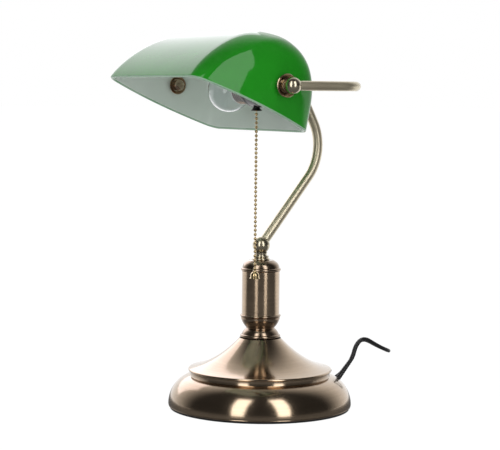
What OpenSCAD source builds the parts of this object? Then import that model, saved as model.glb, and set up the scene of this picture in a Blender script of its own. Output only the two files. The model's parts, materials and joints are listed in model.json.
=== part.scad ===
/* [Base] */
// Diameter of the spun base over its lower band
base_d = 190; // [180:1:200]
// Diameter of the raised step on the base
step_d = 149; // [140:1:156]
// Height of the step's rim above the table
step_z = 41; // [38:0.5:45]
// Height of the bell from the step's rim to the collar
bell_h = 32; // [26:0.5:38]
// Sheet thickness of the spun shell
shell_t = 1.2; // [0.8:0.1:1.6]
// Thickness of the felt pad
pad_t = 2; // [1.5:0.1:2.5]
// Height of the cast weight inside the base
weight_h = 9; // [7:0.5:11]
// Gap left round the cast weight for the lead
weight_gap = 18; // [17:0.5:26]

/* [Column] */
// Outer diameter of the column tube
column_d = 39.2; // [36:0.2:40]
// Length of the column tube
column_l = 45; // [35:1:60]
// Wall of the column tube
column_t = 1.5; // [1:0.1:2.5]
// Height of the waisted collar under the cup
collar_h = 10.5; // [9:0.5:13]
// Height of the cup that carries the column tube
cup_h = 14; // [12:0.5:17]
// Diameter of the collar's bead and the cup's lip
lip_d = 42.4; // [41:0.2:44]
// Diameter of the waist between collar and cup
waist_d = 29.2; // [24:0.2:32]
// Height of the domed cap on the column
cap_h = 11.4; // [9:0.2:14]
// Height of the ringed neck under the ball
neck_h = 7.6; // [7:0.2:10]
// Diameter of the ball that carries the stem
ball_d = 18; // [17:0.5:20]
// Outer diameter of the threaded rod
rod_d = 10; // [8:0.5:10]

/* [Stem] */
// Outer diameter of the stem tube
stem_d = 10; // [9:0.5:11]
// Wall of the stem and yoke tubes
tube_t = 1.2; // [0.8:0.1:1.4]
// Lean of the stem's lower part from vertical
stem_lean = 39.3; // [36:0.1:42]
// Length of the stem's straight lower part from the ball's centre
stem_l = 90; // [80:1:100]
// Centre line radius of the stem's bend
stem_r = 52; // [45:1:60]
// Angle of the stem's bend
stem_turn = 66.5; // [62:0.5:70]
// Length of the stem's upper part up to the crossbar's centre
stem_top_l = 42.6; // [36:0.2:50]

/* [Yoke] */
// Outer diameter of the yoke tube
yoke_d = 9.5; // [8:0.5:10]
// Distance from the crossbar to the pivot line
arm_l = 86.5; // [80:0.5:96]
// Centre line radius of the yoke's corners
corner_r = 28; // [20:1:34]
// Gap from the shade's crown to the centre of a ball end
ball_end_gap = 14.6; // [13:0.2:18]
// Diameter of the ball ends
ball_end_d = 16; // [15:0.5:18]

/* [Shade] */
// Width of the shade's opening from front lip to back lip
shade_w = 140.3; // [130:0.5:150]
// Half length of the shade's straight part at a corner
shade_half = 92.5; // [84:0.5:100]
// How far the rounded ends stand out past the corners at the pivot
end_bow = 16.5; // [12:0.5:20]
// Height of the shade's crest over its opening
shade_h = 80.6; // [74:0.2:88]
// Distance of the crest line from the front lip
crest_w = 84.7; // [76:0.5:92]
// Distance of the pivot from the front lip
pivot_w = 85.6; // [78:0.5:92]
// Height of the pivot over the opening
pivot_h = 27.5; // [24:0.5:32]
// Slope of the opening, front lip raised
shade_slope = 22.7; // [10:0.5:30]
// Corner radius of the opening
shade_corner = 10.6; // [8:0.2:14]
// Thickness of the cased glass
glass_t = 3; // [2.5:0.1:4]

/* [Fittings] */
// Diameter of the hole in each end of the shade
glass_hole_d = 12; // [11:0.2:14]
// Outer diameter of the hollow nipple
nipple_d = 10; // [9:0.1:10]
// Bore of the hollow nipple
nipple_bore_d = 6.5; // [5.5:0.1:7]
// Diameter of the far pivot screw
screw_d = 6; // [5:0.2:7]
// Diameter of the slotted screw head
screw_head_d = 11.4; // [10:0.2:13]
// Height of the slotted screw head
screw_head_h = 7; // [4:0.5:8]
// Outer diameter of the outer cup washers
outer_cup_d = 23; // [21:0.5:26]
// Outer diameter of the inner washers
inner_cup_d = 19.5; // [18:0.5:21]
// Thickness of the metal washers
washer_t = 1; // [0.8:0.1:1.2]
// Thickness of the rubber gaskets
gasket_t = 0.8; // [0.5:0.1:1]

/* [Lampholder] */
// Drop of the lampholder's axis under the pivot line
holder_drop = 5; // [4:0.5:5.5]
// Outer diameter of the lampholder's cap
holder_cap_d = 34; // [33.4:0.2:36]
// Outer diameter of the switch body
holder_d = 33; // [32:0.2:33]
// Length of the lampholder's cap
holder_cap_l = 24.5; // [24:0.5:28]
// Length of the switch body
holder_l = 24; // [22:0.5:26]
// Length of the bare screw shell in front of the body
shell_out_l = 22; // [18:0.5:22]
// Outer diameter of the screw shell
screw_shell_d = 27.6; // [27.4:0.1:28]
// Outer diameter of the pull switch's bell mouth
mouth_d = 11; // [9:0.5:13]

/* [Bulb] */
// Diameter of the glass globe
globe_d = 44; // [40:0.5:50]
// Distance from the globe's centre to the end contact
bulb_l = 52.5; // [50:0.5:56]
// Distance from the globe's centre to the lampholder's body
globe_out = 48; // [44:0.5:49]
// Diameter of the bulb's screw cap
bulb_cap_d = 26.2; // [26:0.1:26.4]

/* [Pull chain] */
// Diameter of a chain bead
bead_d = 3.2; // [2.8:0.1:3.6]
// Distance between two beads
bead_pitch = 4.25; // [4:0.05:5]
// Number of beads
bead_count = 37; // [24:1:40]
// Height of the brass bell on the chain
bell_pull_h = 8.2; // [7:0.2:11]
// Diameter of the bell's mouth
bell_pull_d = 10.4; // [8:0.2:12]

/* [Mains lead] */
// Width of the flat twin lead
cord_d = 5.4; // [5:0.1:5.4]
// Length of the tapered strain relief
relief_l = 36; // [30:1:40]
// Width of the plug's body
plug_w = 35; // [30:1:36]
// Length of the plug's body
plug_l = 37; // [32:1:40]
// Thickness of the plug's body
plug_t = 13.7; // [12:0.1:14]
// Diameter of a plug pin
pin_d = 4; // [3.8:0.1:4.2]
// Length of a plug pin
pin_l = 19; // [17:0.5:20]
// Distance between the plug pins
pin_gap = 18.6; // [17.5:0.1:19]

/* [Hidden] */

// Named clearances
run_gap = 0.05;
seat_gap = 0.05;
turn_gap = 0.15;

// Base
rim_low = 8;
bell_top_r = 21.4;
bell_power = 1.65;
collar_z = step_z + bell_h;
step_r = step_d / 2;
step_round = 1.6;
step_roll = 3.4;
step_neck = step_r - 2.2;
step_under = step_z - 7.2;
rim_in = step_neck - 1.3;
weight_z = pad_t + 0.1;
weight_bore = 40;
weight_d = base_d - 2 * weight_gap;
nut_h = 5;
nut_af = 14;
rod_washer_d = 28;
rod_washer_t = 1.5;

// Column
bead_h = 4;
cup_z = collar_z + collar_h;
column_z = cup_z + cup_h;
cap_z = column_z + column_l;
neck_z = cap_z + cap_h;
ball_z = neck_z + neck_h + ball_d / 2 - 1.2;
rod_top = neck_z + 2;
rod_washer_z = collar_z - shell_t - rod_washer_t;
rod_nut_z = rod_washer_z - nut_h;
rod_z = rod_nut_z - 2;
ball_bore_r = 3.4;

// Stem and yoke
bend_y = stem_l * sin(stem_lean);
bend_z = ball_z + stem_l * cos(stem_lean);
bend_cy = bend_y - stem_r * cos(stem_lean);
bend_cz = bend_z + stem_r * sin(stem_lean);
end_lean = stem_turn - stem_lean;
bar_y = bend_cy + stem_r * cos(end_lean) - stem_top_l * sin(end_lean);
bar_z = bend_cz + stem_r * sin(end_lean) + stem_top_l * cos(end_lean);
pivot_y = bar_y - arm_l;
pivot_z = bar_z;
stem_in_ball = 4;
stem_short = 1.5;
stem_steps = 14;
stem_sides = 32;
arm_in_ball = 3.4;

// Shade, in its own frame: x along the pivot line, w from front to back, h up from the opening
front_power = 1.36;
front_root = 1.81;
back_power = 3.08;
back_root = 1.68;
back_tuck = 3;
end_power = 6.6;
end_root = 5.2;
bow_fall = 20;
corner_grow = 13.7;
pivot_ratio = pivot_h / shade_h;
crown_x = shade_half + end_bow;
arm_x = crown_x + ball_end_gap;
corner_steps = 6;
side_steps = 8;
slices = 15;

// Fittings along the pivot line
outer_cup_x = crown_x + gasket_t + turn_gap;
outer_cup_l = 4;
glass_in_x = crown_x - glass_t;
sag_gap = 0.3;
near_washer_t = washer_t + 0.13 * end_bow;
inner_washer_x = glass_in_x - gasket_t - sag_gap - turn_gap - washer_t;
bush_l = glass_t - 0.4;
bush_x = glass_in_x + 0.2;
nipple_in_ball = yoke_d / 2 + 0.25;
plate_t = 3;
near_washer_x = inner_washer_x + washer_t - near_washer_t;
plate_x = near_washer_x - plate_t;
plate_gap = 2;
nipple_nut_h = 4.8;
nipple_nut_af = 13;
nipple_in_x = plate_x - nipple_nut_h - 1;

// Lampholder and bulb
holder_y = pivot_y;
holder_z = pivot_z - holder_drop;
cap_end_x = plate_x + plate_t;
body_x = cap_end_x - holder_cap_l;
body_front_x = body_x - holder_l;
spigot_l = 6;
body_floor = 2;
screw_shell_t = 0.4;
insert_t = 5;
globe_x = body_front_x - globe_out;
tip_x = globe_x + bulb_l;
contact_t = 0.8;
contact_x = tip_x + 0.1;
insert_x = contact_x + contact_t;
cap_len = 24;
cap_x = tip_x - 3.5 - cap_len;
mouth_x = body_front_x + 4.5;
mouth_h = 3.6;
mouth_neck_d = 6.4;
mouth_bore_d = 4.4;
mouth_top_z = holder_z - holder_d / 2 + 2.2;
mouth_z = holder_z - holder_d / 2 - mouth_h;

// Pull chain
link_d = 0.8;
bead_gap = 0.3;
eye_top_z = mouth_top_z - 0.2;
eye_z = mouth_z + 1;
link_beads = 3;
first_bead_z = eye_z - bead_pitch;
last_bead_z = first_bead_z - (bead_count - 1) * bead_pitch;
bell_top_z = last_bead_z - bead_d / 2 - bead_gap;

// Mains lead
cord_r = cord_d / 2;
relief_lean = 48;
relief_y = base_d / 2 - 3;
relief_z = 15;
relief_w = 7.4;
relief_root = 5.6;
relief_end = 3.9;
relief_in = 6;
coil_x = -128;
coil_y = relief_y - 18;
coil_mid = 30;
coil_rows = 3;
coil_in = coil_mid - 1.5 * cord_d;
coil_out = coil_mid + 1.5 * cord_d;
coil_h = coil_rows * cord_d;
tie_w = 8;
tie_t = 1;
tie_turn = 200;
plug_x = -226;
plug_y = relief_y + 6;
plug_turn = 58.5;
// Way of the lead from the sleeve to the coil, and of its tail, y measured from the sleeve's root
lead_way = [[0, 24, 42], [0, 26.5, 47], [0, 28.5, 53], [0, 32, 58.5], [0, 37, 62], [0, 43, 62],
    [0, 50, 58.5], [1.5, 56.5, 54.6], [2, 63, 51.3], [0.3, 69.5, 48.8], [-3.7, 75, 46.9],
    [-9.2, 78.5, 46], [-15.7, 79.5, 46.5], [-21.8, 77.8, 48], [-27, 73.5, 50.8],
    [-30.5, 69, 53.8], [-34, 65, 55.4], [-37.6, 61.6, 54], [-40.4, 59.4, 49.8],
    [-42.4, 58, 44], [-44.4, 56.6, 37.5], [-46.8, 54.6, 30.5], [-50.5, 51.5, 23],
    [-56, 47.2, 15.5], [-63.5, 42.5, 9], [-73, 37, 4.2], [-81.5, 29.8, 2.7],
    [-87.5, 20.5, 2.7], [-91.2, 11, 2.7], [-92.6, 2, 2.7], [-92.6, -7, 2.7], [-92.6, -17, 2.7]];
lead_route = [for (p = lead_way) p + [0, relief_y, 0]];
tail_way = [[-163.4, -18, 13.5], [-163.4, -6, 11.5], [-163, 6, 8], [-162, 19, 4.4], [-162, 32, 2.7],
    [-165, 43, 2.7], [-173, 51, 2.9], [-184, 54, 3.4], [-195, 51, 4.4], [-203, 43.5, 5.6],
    [-207, 36.7, 6.85]];
tail_route = [for (p = tail_way) p + [0, relief_y, 0]];
wire_r = 2.4;
filament_r = 0.4;
mount_tip = 5;
filament_route = [[0, 1, 11], [0, 4, 7], [0, 7, 3.5], [0, 8.4, 0.5], [0, 6.5, -1], [0, 3.5, -2], [0, 0, -2.4],
    [0, -3.5, -2], [0, -6.5, -1], [0, -8.4, 0.5], [0, -7, 3.5], [0, -4, 7], [0, -1, 11]];

// Points of an arc round [x, y]
function arc(x, y, r, a0, a1, n) = [for (i = [0:n]) let (a = a0 + (a1 - a0) * i / n)
    [x + r * cos(a), y + r * sin(a)]];

// Points between p and q that bulge to the side by a share of their distance
function bulge(p, q, b, n) = [for (i = [0:n]) let (s = i / n, d = q - p, l = norm(d))
    p + d * s + [-d[1], d[0]] / l * b * 4 * s * (1 - s)];

// Height of the bell's surface at radius r, and its slope there
function bell_share(r) = (step_r - step_round - r) / (step_r - step_round - bell_top_r);
function bell_at(r) = step_z + bell_h * pow(max(bell_share(r), 0), bell_power);
function bell_grade(r) = -bell_power * bell_h * pow(max(bell_share(r), 0), bell_power - 1)
    / (step_r - step_round - bell_top_r);
function bell_point(r, t) = let (m = bell_grade(r), k = sqrt(1 + m * m))
    [r + t * m / k, bell_at(r) - t / k];
function bell_line(t, n) = [for (i = [0:n]) bell_point(
    bell_top_r + (step_r - step_round - bell_top_r) * i / n, t)];

// Shade: front and back of the section at height h for a skin t inside the outer one
function shade_ratio(h, t) = min(h / (shade_h - t), 1);
function shade_front(h, t) = crest_w - (crest_w - t)
    * pow(1 - pow(shade_ratio(h, t), front_power), 1 / front_root);
function shade_back(h, t) = crest_w + (shade_w - t - crest_w)
    * pow(1 - pow(shade_ratio(h, t), back_power), 1 / back_root)
    - back_tuck * 4 * shade_ratio(h, t) * (1 - shade_ratio(h, t));
function shade_end(h, t) = pow(1 - pow(shade_ratio(h, t), end_power), 1 / end_root);
function shade_bow(h, t) = (end_bow - bow_fall * pow(shade_ratio(h, t) - pivot_ratio, 2)) * shade_end(h, t);
function bow_centre(h, t) = let (m = (shade_front(h, t) + shade_back(h, t)) / 2)
    m + (pivot_w - m) * min(1, h / pivot_h);
function bowed(p, f, b, bow, c) =
    let (s = p[1] < c ? (c - p[1]) / max(c - f, 0.01) : (p[1] - c) / max(b - c, 0.01))
    [p[0] + sign(p[0]) * bow * (1 - s * s), p[1]];
function slice_corner(sx, sw, l, r, f, b) = [for (i = [0:corner_steps])
    let (k = 90 * i / corner_steps, a = sx * sw > 0 ? 90 - k : k)
    [sx * (l - r + r * cos(a)), sw > 0 ? b - r + r * sin(a) : f + r - r * sin(a)]];
function slice_side(sx, l, r, f, b) = [for (i = [1:side_steps - 1])
    [sx * l, sx > 0 ? b - r - (b - f - 2 * r) * i / side_steps : f + r + (b - f - 2 * r) * i / side_steps]];
function slice_plain(l, r, f, b) = concat(slice_corner(1, 1, l, r, f, b), slice_side(1, l, r, f, b),
    slice_corner(1, -1, l, r, f, b), slice_corner(-1, -1, l, r, f, b), slice_side(-1, l, r, f, b),
    slice_corner(-1, 1, l, r, f, b));
function shade_slice(h, t) =
    let (f = shade_front(h, t), b = shade_back(h, t), l = max((shade_half - t) * shade_end(h, t), 1),
        r = min(shade_corner + corner_grow * shade_ratio(h, t), (b - f) / 2.1, l / 1.1))
    [for (p = slice_plain(l, r, f, b)) let (q = bowed(p, f, b, shade_bow(h, t), bow_centre(h, t)))
        [-q[0], q[1], h]];
function shade_levels(t) = [for (i = [0:slices]) (shade_h - t) * sin(88.5 * i / slices)];
function shade_rings(t) = [for (h = shade_levels(t)) shade_slice(h, t)];

// Swept tube: directions, carried frames and rings along a route
function unit(v) = v / norm(v);
function heading(p, i) = unit(p[min(i + 1, len(p) - 1)] - p[max(i - 1, 0)]);
function carry(p, u, i) = i >= len(p) ? []
    : let (d = heading(p, i), v = unit(u - d * (u * d))) concat([v], carry(p, v, i + 1));
function tube_ring(c, d, u, r, n) = let (w = cross(d, u))
    [for (k = [0:n - 1]) c + r * (u * cos(360 * k / n) + w * sin(360 * k / n))];
function skin_faces(rows, n) = [for (i = [0:rows - 2], k = [0:n - 1]) each
    let (a = i * n + k, b = i * n + (k + 1) % n) [[a, b + n, b], [a, a + n, b + n]]];

// Wiring: up the rod, along the stem and the yoke to the lampholder
function stem_points(n) = [for (i = [0:n]) let (a = stem_lean - stem_turn * i / n)
    [0, bend_cy + stem_r * cos(a), bend_cz - stem_r * sin(a)]];
function corner_points(n) = [for (i = [1:n]) let (a = 90 - 90 * i / n)
    [arm_x - corner_r + corner_r * cos(a), bar_y - corner_r + corner_r * sin(a), pivot_z]];
wire_turn = 4;
wire_turn_y = relief_y - (relief_in + 0.1) * cos(relief_lean) - wire_turn * sin(relief_lean);
wire_turn_z = relief_z - (relief_in + 0.1) * sin(relief_lean) + wire_turn * cos(relief_lean);
wire_over = weight_z + weight_h + wire_r + 2;
wire_route = concat([for (a = [270 + relief_lean:-27:210])
    [0, wire_turn_y + wire_turn * cos(a), wire_turn_z + wire_turn * sin(a)]],
    [[0, weight_d / 2 + 1.6, wire_over - 1.4], [0, weight_d / 2 - 3, wire_over], [0, 40, wire_over]],
    [[0, 18, wire_over + 1.5], [0, 8, wire_over + 8], [0, 2.4, wire_over + 18], [0, 0, wire_over + 30]],
    [[0, 0, ball_z - 7], [0, 0.3, ball_z - 1.6], [0, 1.4, ball_z + 1.7],
        [0, bend_y * 0.5, (ball_z + bend_z) / 2]],
    stem_points(8), [[0, bar_y + 5, bar_z - 9], [1.5, bar_y + 1, bar_z - 2.5], [7, bar_y, bar_z]],
    [[50, bar_y, bar_z], [arm_x - corner_r, bar_y, bar_z]],
    corner_points(5), [[arm_x, pivot_y + 8, pivot_z], [arm_x - 0.1, pivot_y + 4, pivot_z],
    [arm_x - 0.9, pivot_y + 1, pivot_z], [arm_x - 3, pivot_y, pivot_z], [nipple_in_x - 2, pivot_y, pivot_z]]);

module sweep(p, r, sides, start) {
    u = carry(p, start, 0);
    n = len(p);
    rings = [for (i = [0:n - 1]) each tube_ring(p[i], heading(p, i), u[i], r, sides)];
    ends = [[for (k = [0:sides - 1]) k], [for (k = [sides - 1:-1:0]) (n - 1) * sides + k]];
    polyhedron(rings, concat(skin_faces(n, sides), ends), convexity = 10);
}

// Loft through the shade's slices, closed at the opening and at the crest
module shade_form(t, drop) {
    rings = shade_rings(t);
    n = len(rings[0]);
    rows = len(rings);
    points = [for (i = [0:rows - 1], p = rings[i]) [p[0], p[1], i == 0 ? -drop : p[2]]];
    ends = [[for (k = [0:n - 1]) k], [for (k = [n - 1:-1:0]) (rows - 1) * n + k]];
    polyhedron(points, concat(skin_faces(rows, n), ends), convexity = 6);
}

// Puts the shade's frame at the pivot
module at_shade() {
    translate([0, pivot_y, pivot_z]) rotate([-shade_slope, 0, 0])
        translate([0, -pivot_w, -pivot_h]) children();
}

// Turns a shape made along +Z so that it runs along +X from x on the line [y, z]
module along_x(x, y, z) {
    translate([x, y, z]) rotate([0, 90, 0]) children();
}

module near_side() {
    translate([0, pivot_y, pivot_z]) children();
}

module far_side() {
    translate([0, pivot_y, pivot_z]) mirror([1, 0, 0]) children();
}

module ring(r_out, r_in, h) {
    difference() {
        cylinder(r = r_out, h = h, $fn = 64);
        translate([0, 0, -1]) cylinder(r = r_in, h = h + 2, $fn = 64);
    }
}

module hex_nut(af, h, bore) {
    difference() {
        cylinder(r = af / sqrt(3), h = h, $fn = 6);
        translate([0, 0, -1]) cylinder(r = bore, h = h + 2, $fn = 48);
    }
}

module base_shell() {
    r = base_d / 2;
    outer = concat([[r - 1.6, pad_t], [r - 0.5, pad_t + 0.4], [r - 0.3, pad_t + 1.2], [r - 0.25, pad_t + 3]],
        rim_curve(r - rim_in, step_under - rim_low, 0, 86, 16),
        [[step_neck, step_under + 0.8]],
        arc(step_r - step_roll, step_z - step_roll, step_roll, -62, 62, 8), bell_rim(),
        [[rod_d / 2 + seat_gap, collar_z], [rod_d / 2 + seat_gap, collar_z - shell_t]],
        [[bell_top_r - shell_t, collar_z - shell_t]]);
    inner = concat([for (i = [1:16]) bell_line(shell_t, 16)[i]],
        [[step_neck - shell_t, step_z - 2.4], [step_neck - shell_t - 0.4, step_under - shell_t]],
        rim_curve(r - rim_in - shell_t, step_under - rim_low - shell_t, 80, 0, 16),
        [[r - shell_t - 0.4, pad_t + 2.2], [r - 1.6, pad_t + 1.2]]);
    color("darkgoldenrod") difference() {
        rotate_extrude($fn = 128) polygon(concat(outer, inner));
        relief_hole();
    }
}

// Bell surface from the step's rim in to the collar, outer skin
function bell_rim() = [for (i = [0:16]) let (s = 1 - i / 16)
    bell_point(bell_top_r + (step_r - step_round - bell_top_r) * s, 0)];

// Quarter round of the base's rim, a wide and h high, between two angles
function rim_curve(a, h, a0, a1, n) = [for (i = [0:n]) let (t = a0 + (a1 - a0) * i / n)
    [rim_in + a * cos(t), rim_low + h * sin(t)]];

module relief_hole() {
    translate([0, relief_y, relief_z]) rotate([relief_lean - 90, 0, 0]) translate([0, 0, -12])
        cylinder(r = relief_w / 2 + seat_gap, h = 24, $fn = 48);
}

module base_weight() {
    color("dimgray") difference() {
        translate([0, 0, weight_z]) cylinder(r = weight_d / 2, h = weight_h, $fn = 96);
        translate([0, 0, weight_z - 1]) cylinder(r = weight_bore / 2, h = weight_h + 2, $fn = 64);
    }
}

module base_pad() {
    color("black") cylinder(r = base_d / 2 - 1.8, h = pad_t - seat_gap, $fn = 128);
}

// Washer and nut that draw the rod down under the bell's top
module base_washer() {
    color("silver") translate([0, 0, rod_washer_z])
        ring(rod_washer_d / 2, rod_d / 2 + seat_gap, rod_washer_t - seat_gap);
}

module base_nut() {
    color("silver") translate([0, 0, rod_nut_z]) hex_nut(nut_af, nut_h - seat_gap, rod_d / 2 + seat_gap);
}

module threaded_rod() {
    color("silver") translate([0, 0, rod_z]) ring(rod_d / 2, rod_d / 2 - 1.6, rod_top - rod_z);
}

module collar() {
    profile = concat([[rod_d / 2 + seat_gap, collar_z], [bell_top_r - 0.6, collar_z]],
        arc(lip_d / 2 - bead_h / 2 - 0.2, collar_z + bead_h / 2, bead_h / 2, -80, 80, 8),
        bulge([lip_d / 2 - 1.8, collar_z + bead_h], [waist_d / 2 + 0.2, cup_z - 0.4], -0.5, 8),
        [[waist_d / 2, cup_z], [rod_d / 2 + seat_gap, cup_z]]);
    color("saddlebrown") rotate_extrude($fn = 96) polygon(profile);
}

module cup() {
    r = lip_d / 2;
    profile = concat([[rod_d / 2 + seat_gap, cup_z], [waist_d / 2 + 0.3, cup_z]],
        bulge([waist_d / 2 + 0.6, cup_z + 0.8], [r - 0.9, column_z - 4.2], -0.6, 8),
        [[r - 1.1, column_z - 3.6], [r - 0.7, column_z - 3.1], [r - 1.1, column_z - 2.5], [r, column_z - 1.9],
        [r, column_z - 0.5], [r - 0.5, column_z], [column_d / 2 + seat_gap, column_z],
        [column_d / 2 + seat_gap, column_z - 3], [rod_d / 2 + seat_gap, column_z - 3]]);
    color("saddlebrown") rotate_extrude($fn = 96) polygon(profile);
}

module column_tube() {
    color("darkgoldenrod") translate([0, 0, column_z - 3 + seat_gap]) ring(column_d / 2, column_d / 2 - column_t,
        column_l + 3 - seat_gap);
}

module column_cap() {
    r = lip_d / 2 - 0.4;
    profile = concat([[rod_d / 2 + seat_gap, cap_z + seat_gap], [r - 0.4, cap_z + seat_gap], [r, cap_z + 0.6],
        [r, cap_z + 2.8], [r - 0.6, cap_z + 3.5]],
        bulge([r - 0.9, cap_z + 3.6], [14.4, neck_z - 0.9], -1.1, 6),
        [[13.6, neck_z - 0.2], [9.4, neck_z], [rod_d / 2 + seat_gap, neck_z]]);
    color("saddlebrown") rotate_extrude($fn = 96) polygon(profile);
}

module neck() {
    bore = rod_d / 2 + seat_gap;
    top = neck_z + neck_h;
    profile = concat([[bore, neck_z]], arc(8.1, neck_z + 1, 1, -85, 85, 6), [[7.2, neck_z + 2.1]],
        arc(7, neck_z + 3.6, 1.2, -80, 80, 6), [[6.2, neck_z + 5], [6, neck_z + 6], [6.4, top - 0.3],
        [6.4, top], [3.4, top], [3.4, rod_top + 0.1], [bore, rod_top + 0.1]]);
    color("saddlebrown") difference() {
        rotate_extrude($fn = 72) polygon(profile);
        translate([0, 0, ball_z]) sphere(r = ball_d / 2, $fn = 72);
    }
}

module stem_ball() {
    color("saddlebrown") difference() {
        translate([0, 0, ball_z]) sphere(r = ball_d / 2, $fn = 72);
        translate([0, 0, ball_z - ball_d]) cylinder(r = ball_bore_r, h = ball_d, $fn = 48);
        translate([0, 0, ball_z]) sphere(r = ball_bore_r + 0.25, $fn = 48);
        translate([0, 0, ball_z]) rotate([-stem_lean, 0, 0]) cylinder(r = ball_bore_r, h = ball_d, $fn = 48);
        translate([0, 0, ball_z]) rotate([-stem_lean, 0, 0]) translate([0, 0, stem_in_ball])
            cylinder(r = stem_d / 2 + seat_gap, h = ball_d, $fn = 48);
    }
}

// Centre line of the stem from skip above the ball's centre to past beyond the crossbar's centre
function stem_line(skip, past) =
    let (up = [0, sin(stem_lean), cos(stem_lean)], top = [0, -sin(end_lean), cos(end_lean)])
    concat([[0, 0, ball_z] + up * skip, [0, 0, ball_z] + up * stem_l * 0.5], stem_points(stem_steps),
    [[0, bar_y, bar_z] - top * stem_top_l * 0.5, [0, bar_y, bar_z] + top * past]);

module stem_tube() {
    color("darkgoldenrod") difference() {
        sweep(stem_line(stem_in_ball + seat_gap, -stem_short), stem_d / 2, stem_sides, [1, 0, 0]);
        sweep(stem_line(stem_in_ball - 1, 1), stem_d / 2 - tube_t, stem_sides, [1, 0, 0]);
        along_x(-20, bar_y, bar_z) cylinder(r = yoke_d / 2, h = 40, $fn = 48);
    }
}

// Solid of radius r along half of the yoke, from the stem to the pivot line
module yoke_half(r, past, overlap) {
    along_x(-overlap, bar_y, bar_z) cylinder(r = r, h = arm_x - corner_r + overlap, $fn = 48);
    translate([arm_x - corner_r, bar_y - corner_r, bar_z]) rotate_extrude(angle = 90, $fn = 160)
        translate([corner_r, 0]) circle(r = r, $fn = 48);
    translate([arm_x, pivot_y + arm_in_ball - past, pivot_z]) rotate([-90, 0, 0])
        cylinder(r = r, h = arm_l - corner_r - arm_in_ball + past, $fn = 48);
}

module yoke_tube() {
    bore = yoke_d / 2 - tube_t;
    color("darkgoldenrod") difference() {
        union() {
            yoke_half(yoke_d / 2, 0, 0);
            mirror([1, 0, 0]) yoke_half(yoke_d / 2, 0, 0);
        }
        yoke_half(bore, 1, 5);
        mirror([1, 0, 0]) yoke_half(bore, 1, 5);
        translate([0, bar_y, bar_z]) rotate([180 + end_lean, 0, 0])
            cylinder(r = stem_d / 2 - tube_t, h = yoke_d, $fn = 48);
    }
}

module ball_end(bore, depth) {
    r = ball_end_d / 2;
    socket = yoke_d / 2 + seat_gap;
    difference() {
        union() {
            translate([arm_x, 0, 0]) rotate([-90, 0, 0]) rotate_extrude($fn = 72)
                polygon(concat(arc(0, 0, r, -90, acos(socket / r), 20),
                [[socket, arm_in_ball - seat_gap], [0, arm_in_ball - seat_gap]]));
            along_x(outer_cup_x + washer_t + seat_gap, 0, 0)
                cylinder(r = 6.2, h = ball_end_gap / 2, $fn = 48);
        }
        along_x(crown_x, 0, 0) cylinder(r = bore, h = arm_x - crown_x - depth, $fn = 48);
    }
}

module near_ball_end() {
    color("darkgoldenrod") near_side() difference() {
        ball_end(nipple_d / 2 + seat_gap, nipple_in_ball);
        along_x(crown_x, 0, 0) cylinder(r = nipple_bore_d / 2, h = arm_x - crown_x, $fn = 48);
        translate([arm_x, 0, 0]) rotate([-90, 0, 0]) cylinder(r = nipple_bore_d / 2, h = ball_end_d, $fn = 48);
        translate([arm_x, 0, 0]) sphere(r = nipple_bore_d / 2 + 0.25, $fn = 48);
    }
}

module far_ball_end() {
    color("darkgoldenrod") far_side() ball_end(screw_d / 2 + seat_gap, 2);
}

module outer_cup(bore) {
    r = outer_cup_d / 2;
    x = outer_cup_x;
    along_x(x, 0, 0) rotate_extrude($fn = 72) polygon([[bore, 0], [r - 4, 0], [r - 0.6, outer_cup_l - 1.2],
        [r, outer_cup_l - 0.5], [r - 0.4, outer_cup_l], [r - 1.3, outer_cup_l - 0.4],
        [r - 4.4, washer_t], [bore, washer_t]]);
}

module near_outer_cup() {
    color("saddlebrown") near_side() outer_cup(nipple_d / 2 + seat_gap);
}

module far_outer_cup() {
    color("saddlebrown") far_side() outer_cup(screw_d / 2 + seat_gap);
}

module outer_gaskets() {
    color("black") {
        near_side() along_x(crown_x + seat_gap, 0, 0) ring(8.4, glass_hole_d / 2, gasket_t - seat_gap);
        far_side() along_x(crown_x + seat_gap, 0, 0) ring(8.4, glass_hole_d / 2, gasket_t - seat_gap);
    }
}

module inner_gaskets() {
    x = glass_in_x - gasket_t - sag_gap;
    color("black") {
        near_side() along_x(x, 0, 0) ring(8, glass_hole_d / 2, gasket_t);
        far_side() along_x(x, 0, 0) ring(8, glass_hole_d / 2, gasket_t);
    }
}

module bush(bore) {
    along_x(bush_x, 0, 0) ring(glass_hole_d / 2 - seat_gap, bore + run_gap, bush_l);
}

module near_bush() {
    color("white") near_side() bush(nipple_d / 2);
}

module far_bush() {
    color("white") far_side() bush(screw_d / 2);
}

module near_inner_washer() {
    r = inner_cup_d / 2;
    bore = nipple_d / 2 + seat_gap;
    color("silver") near_side() along_x(near_washer_x, 0, 0) rotate_extrude($fn = 72)
        polygon([[bore, 0], [r, 0], [r, near_washer_t - 1], [r - 1.5, near_washer_t], [bore, near_washer_t]]);
}

module far_inner_cup() {
    r = inner_cup_d / 2;
    lip = 1.8;
    color("saddlebrown") far_side() along_x(inner_washer_x - lip, 0, 0) rotate_extrude($fn = 72)
        polygon([[screw_d / 2 + seat_gap, lip], [r - 3, lip], [r - 0.9, 0.3], [r - 0.3, 0], [r, 0.5],
        [r - 1.6, lip + washer_t], [screw_d / 2 + seat_gap, lip + washer_t]]);
}

module far_screw() {
    r = screw_head_d / 2;
    head_x = inner_washer_x - seat_gap;
    color("saddlebrown") far_side() difference() {
        union() {
            along_x(head_x - screw_head_h, 0, 0) rotate_extrude($fn = 72) polygon([[0, 0], [r * 0.5, 0.3],
                [r * 0.8, 1], [r, 2.2], [r, screw_head_h], [0, screw_head_h]]);
            along_x(head_x - 1, 0, 0) cylinder(r = screw_d / 2, h = arm_x - 2 - head_x, $fn = 48);
        }
        translate([head_x - screw_head_h - 1, -r - 1, -0.6]) cube([2.6, 2 * r + 2, 1.2]);
    }
}

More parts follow.
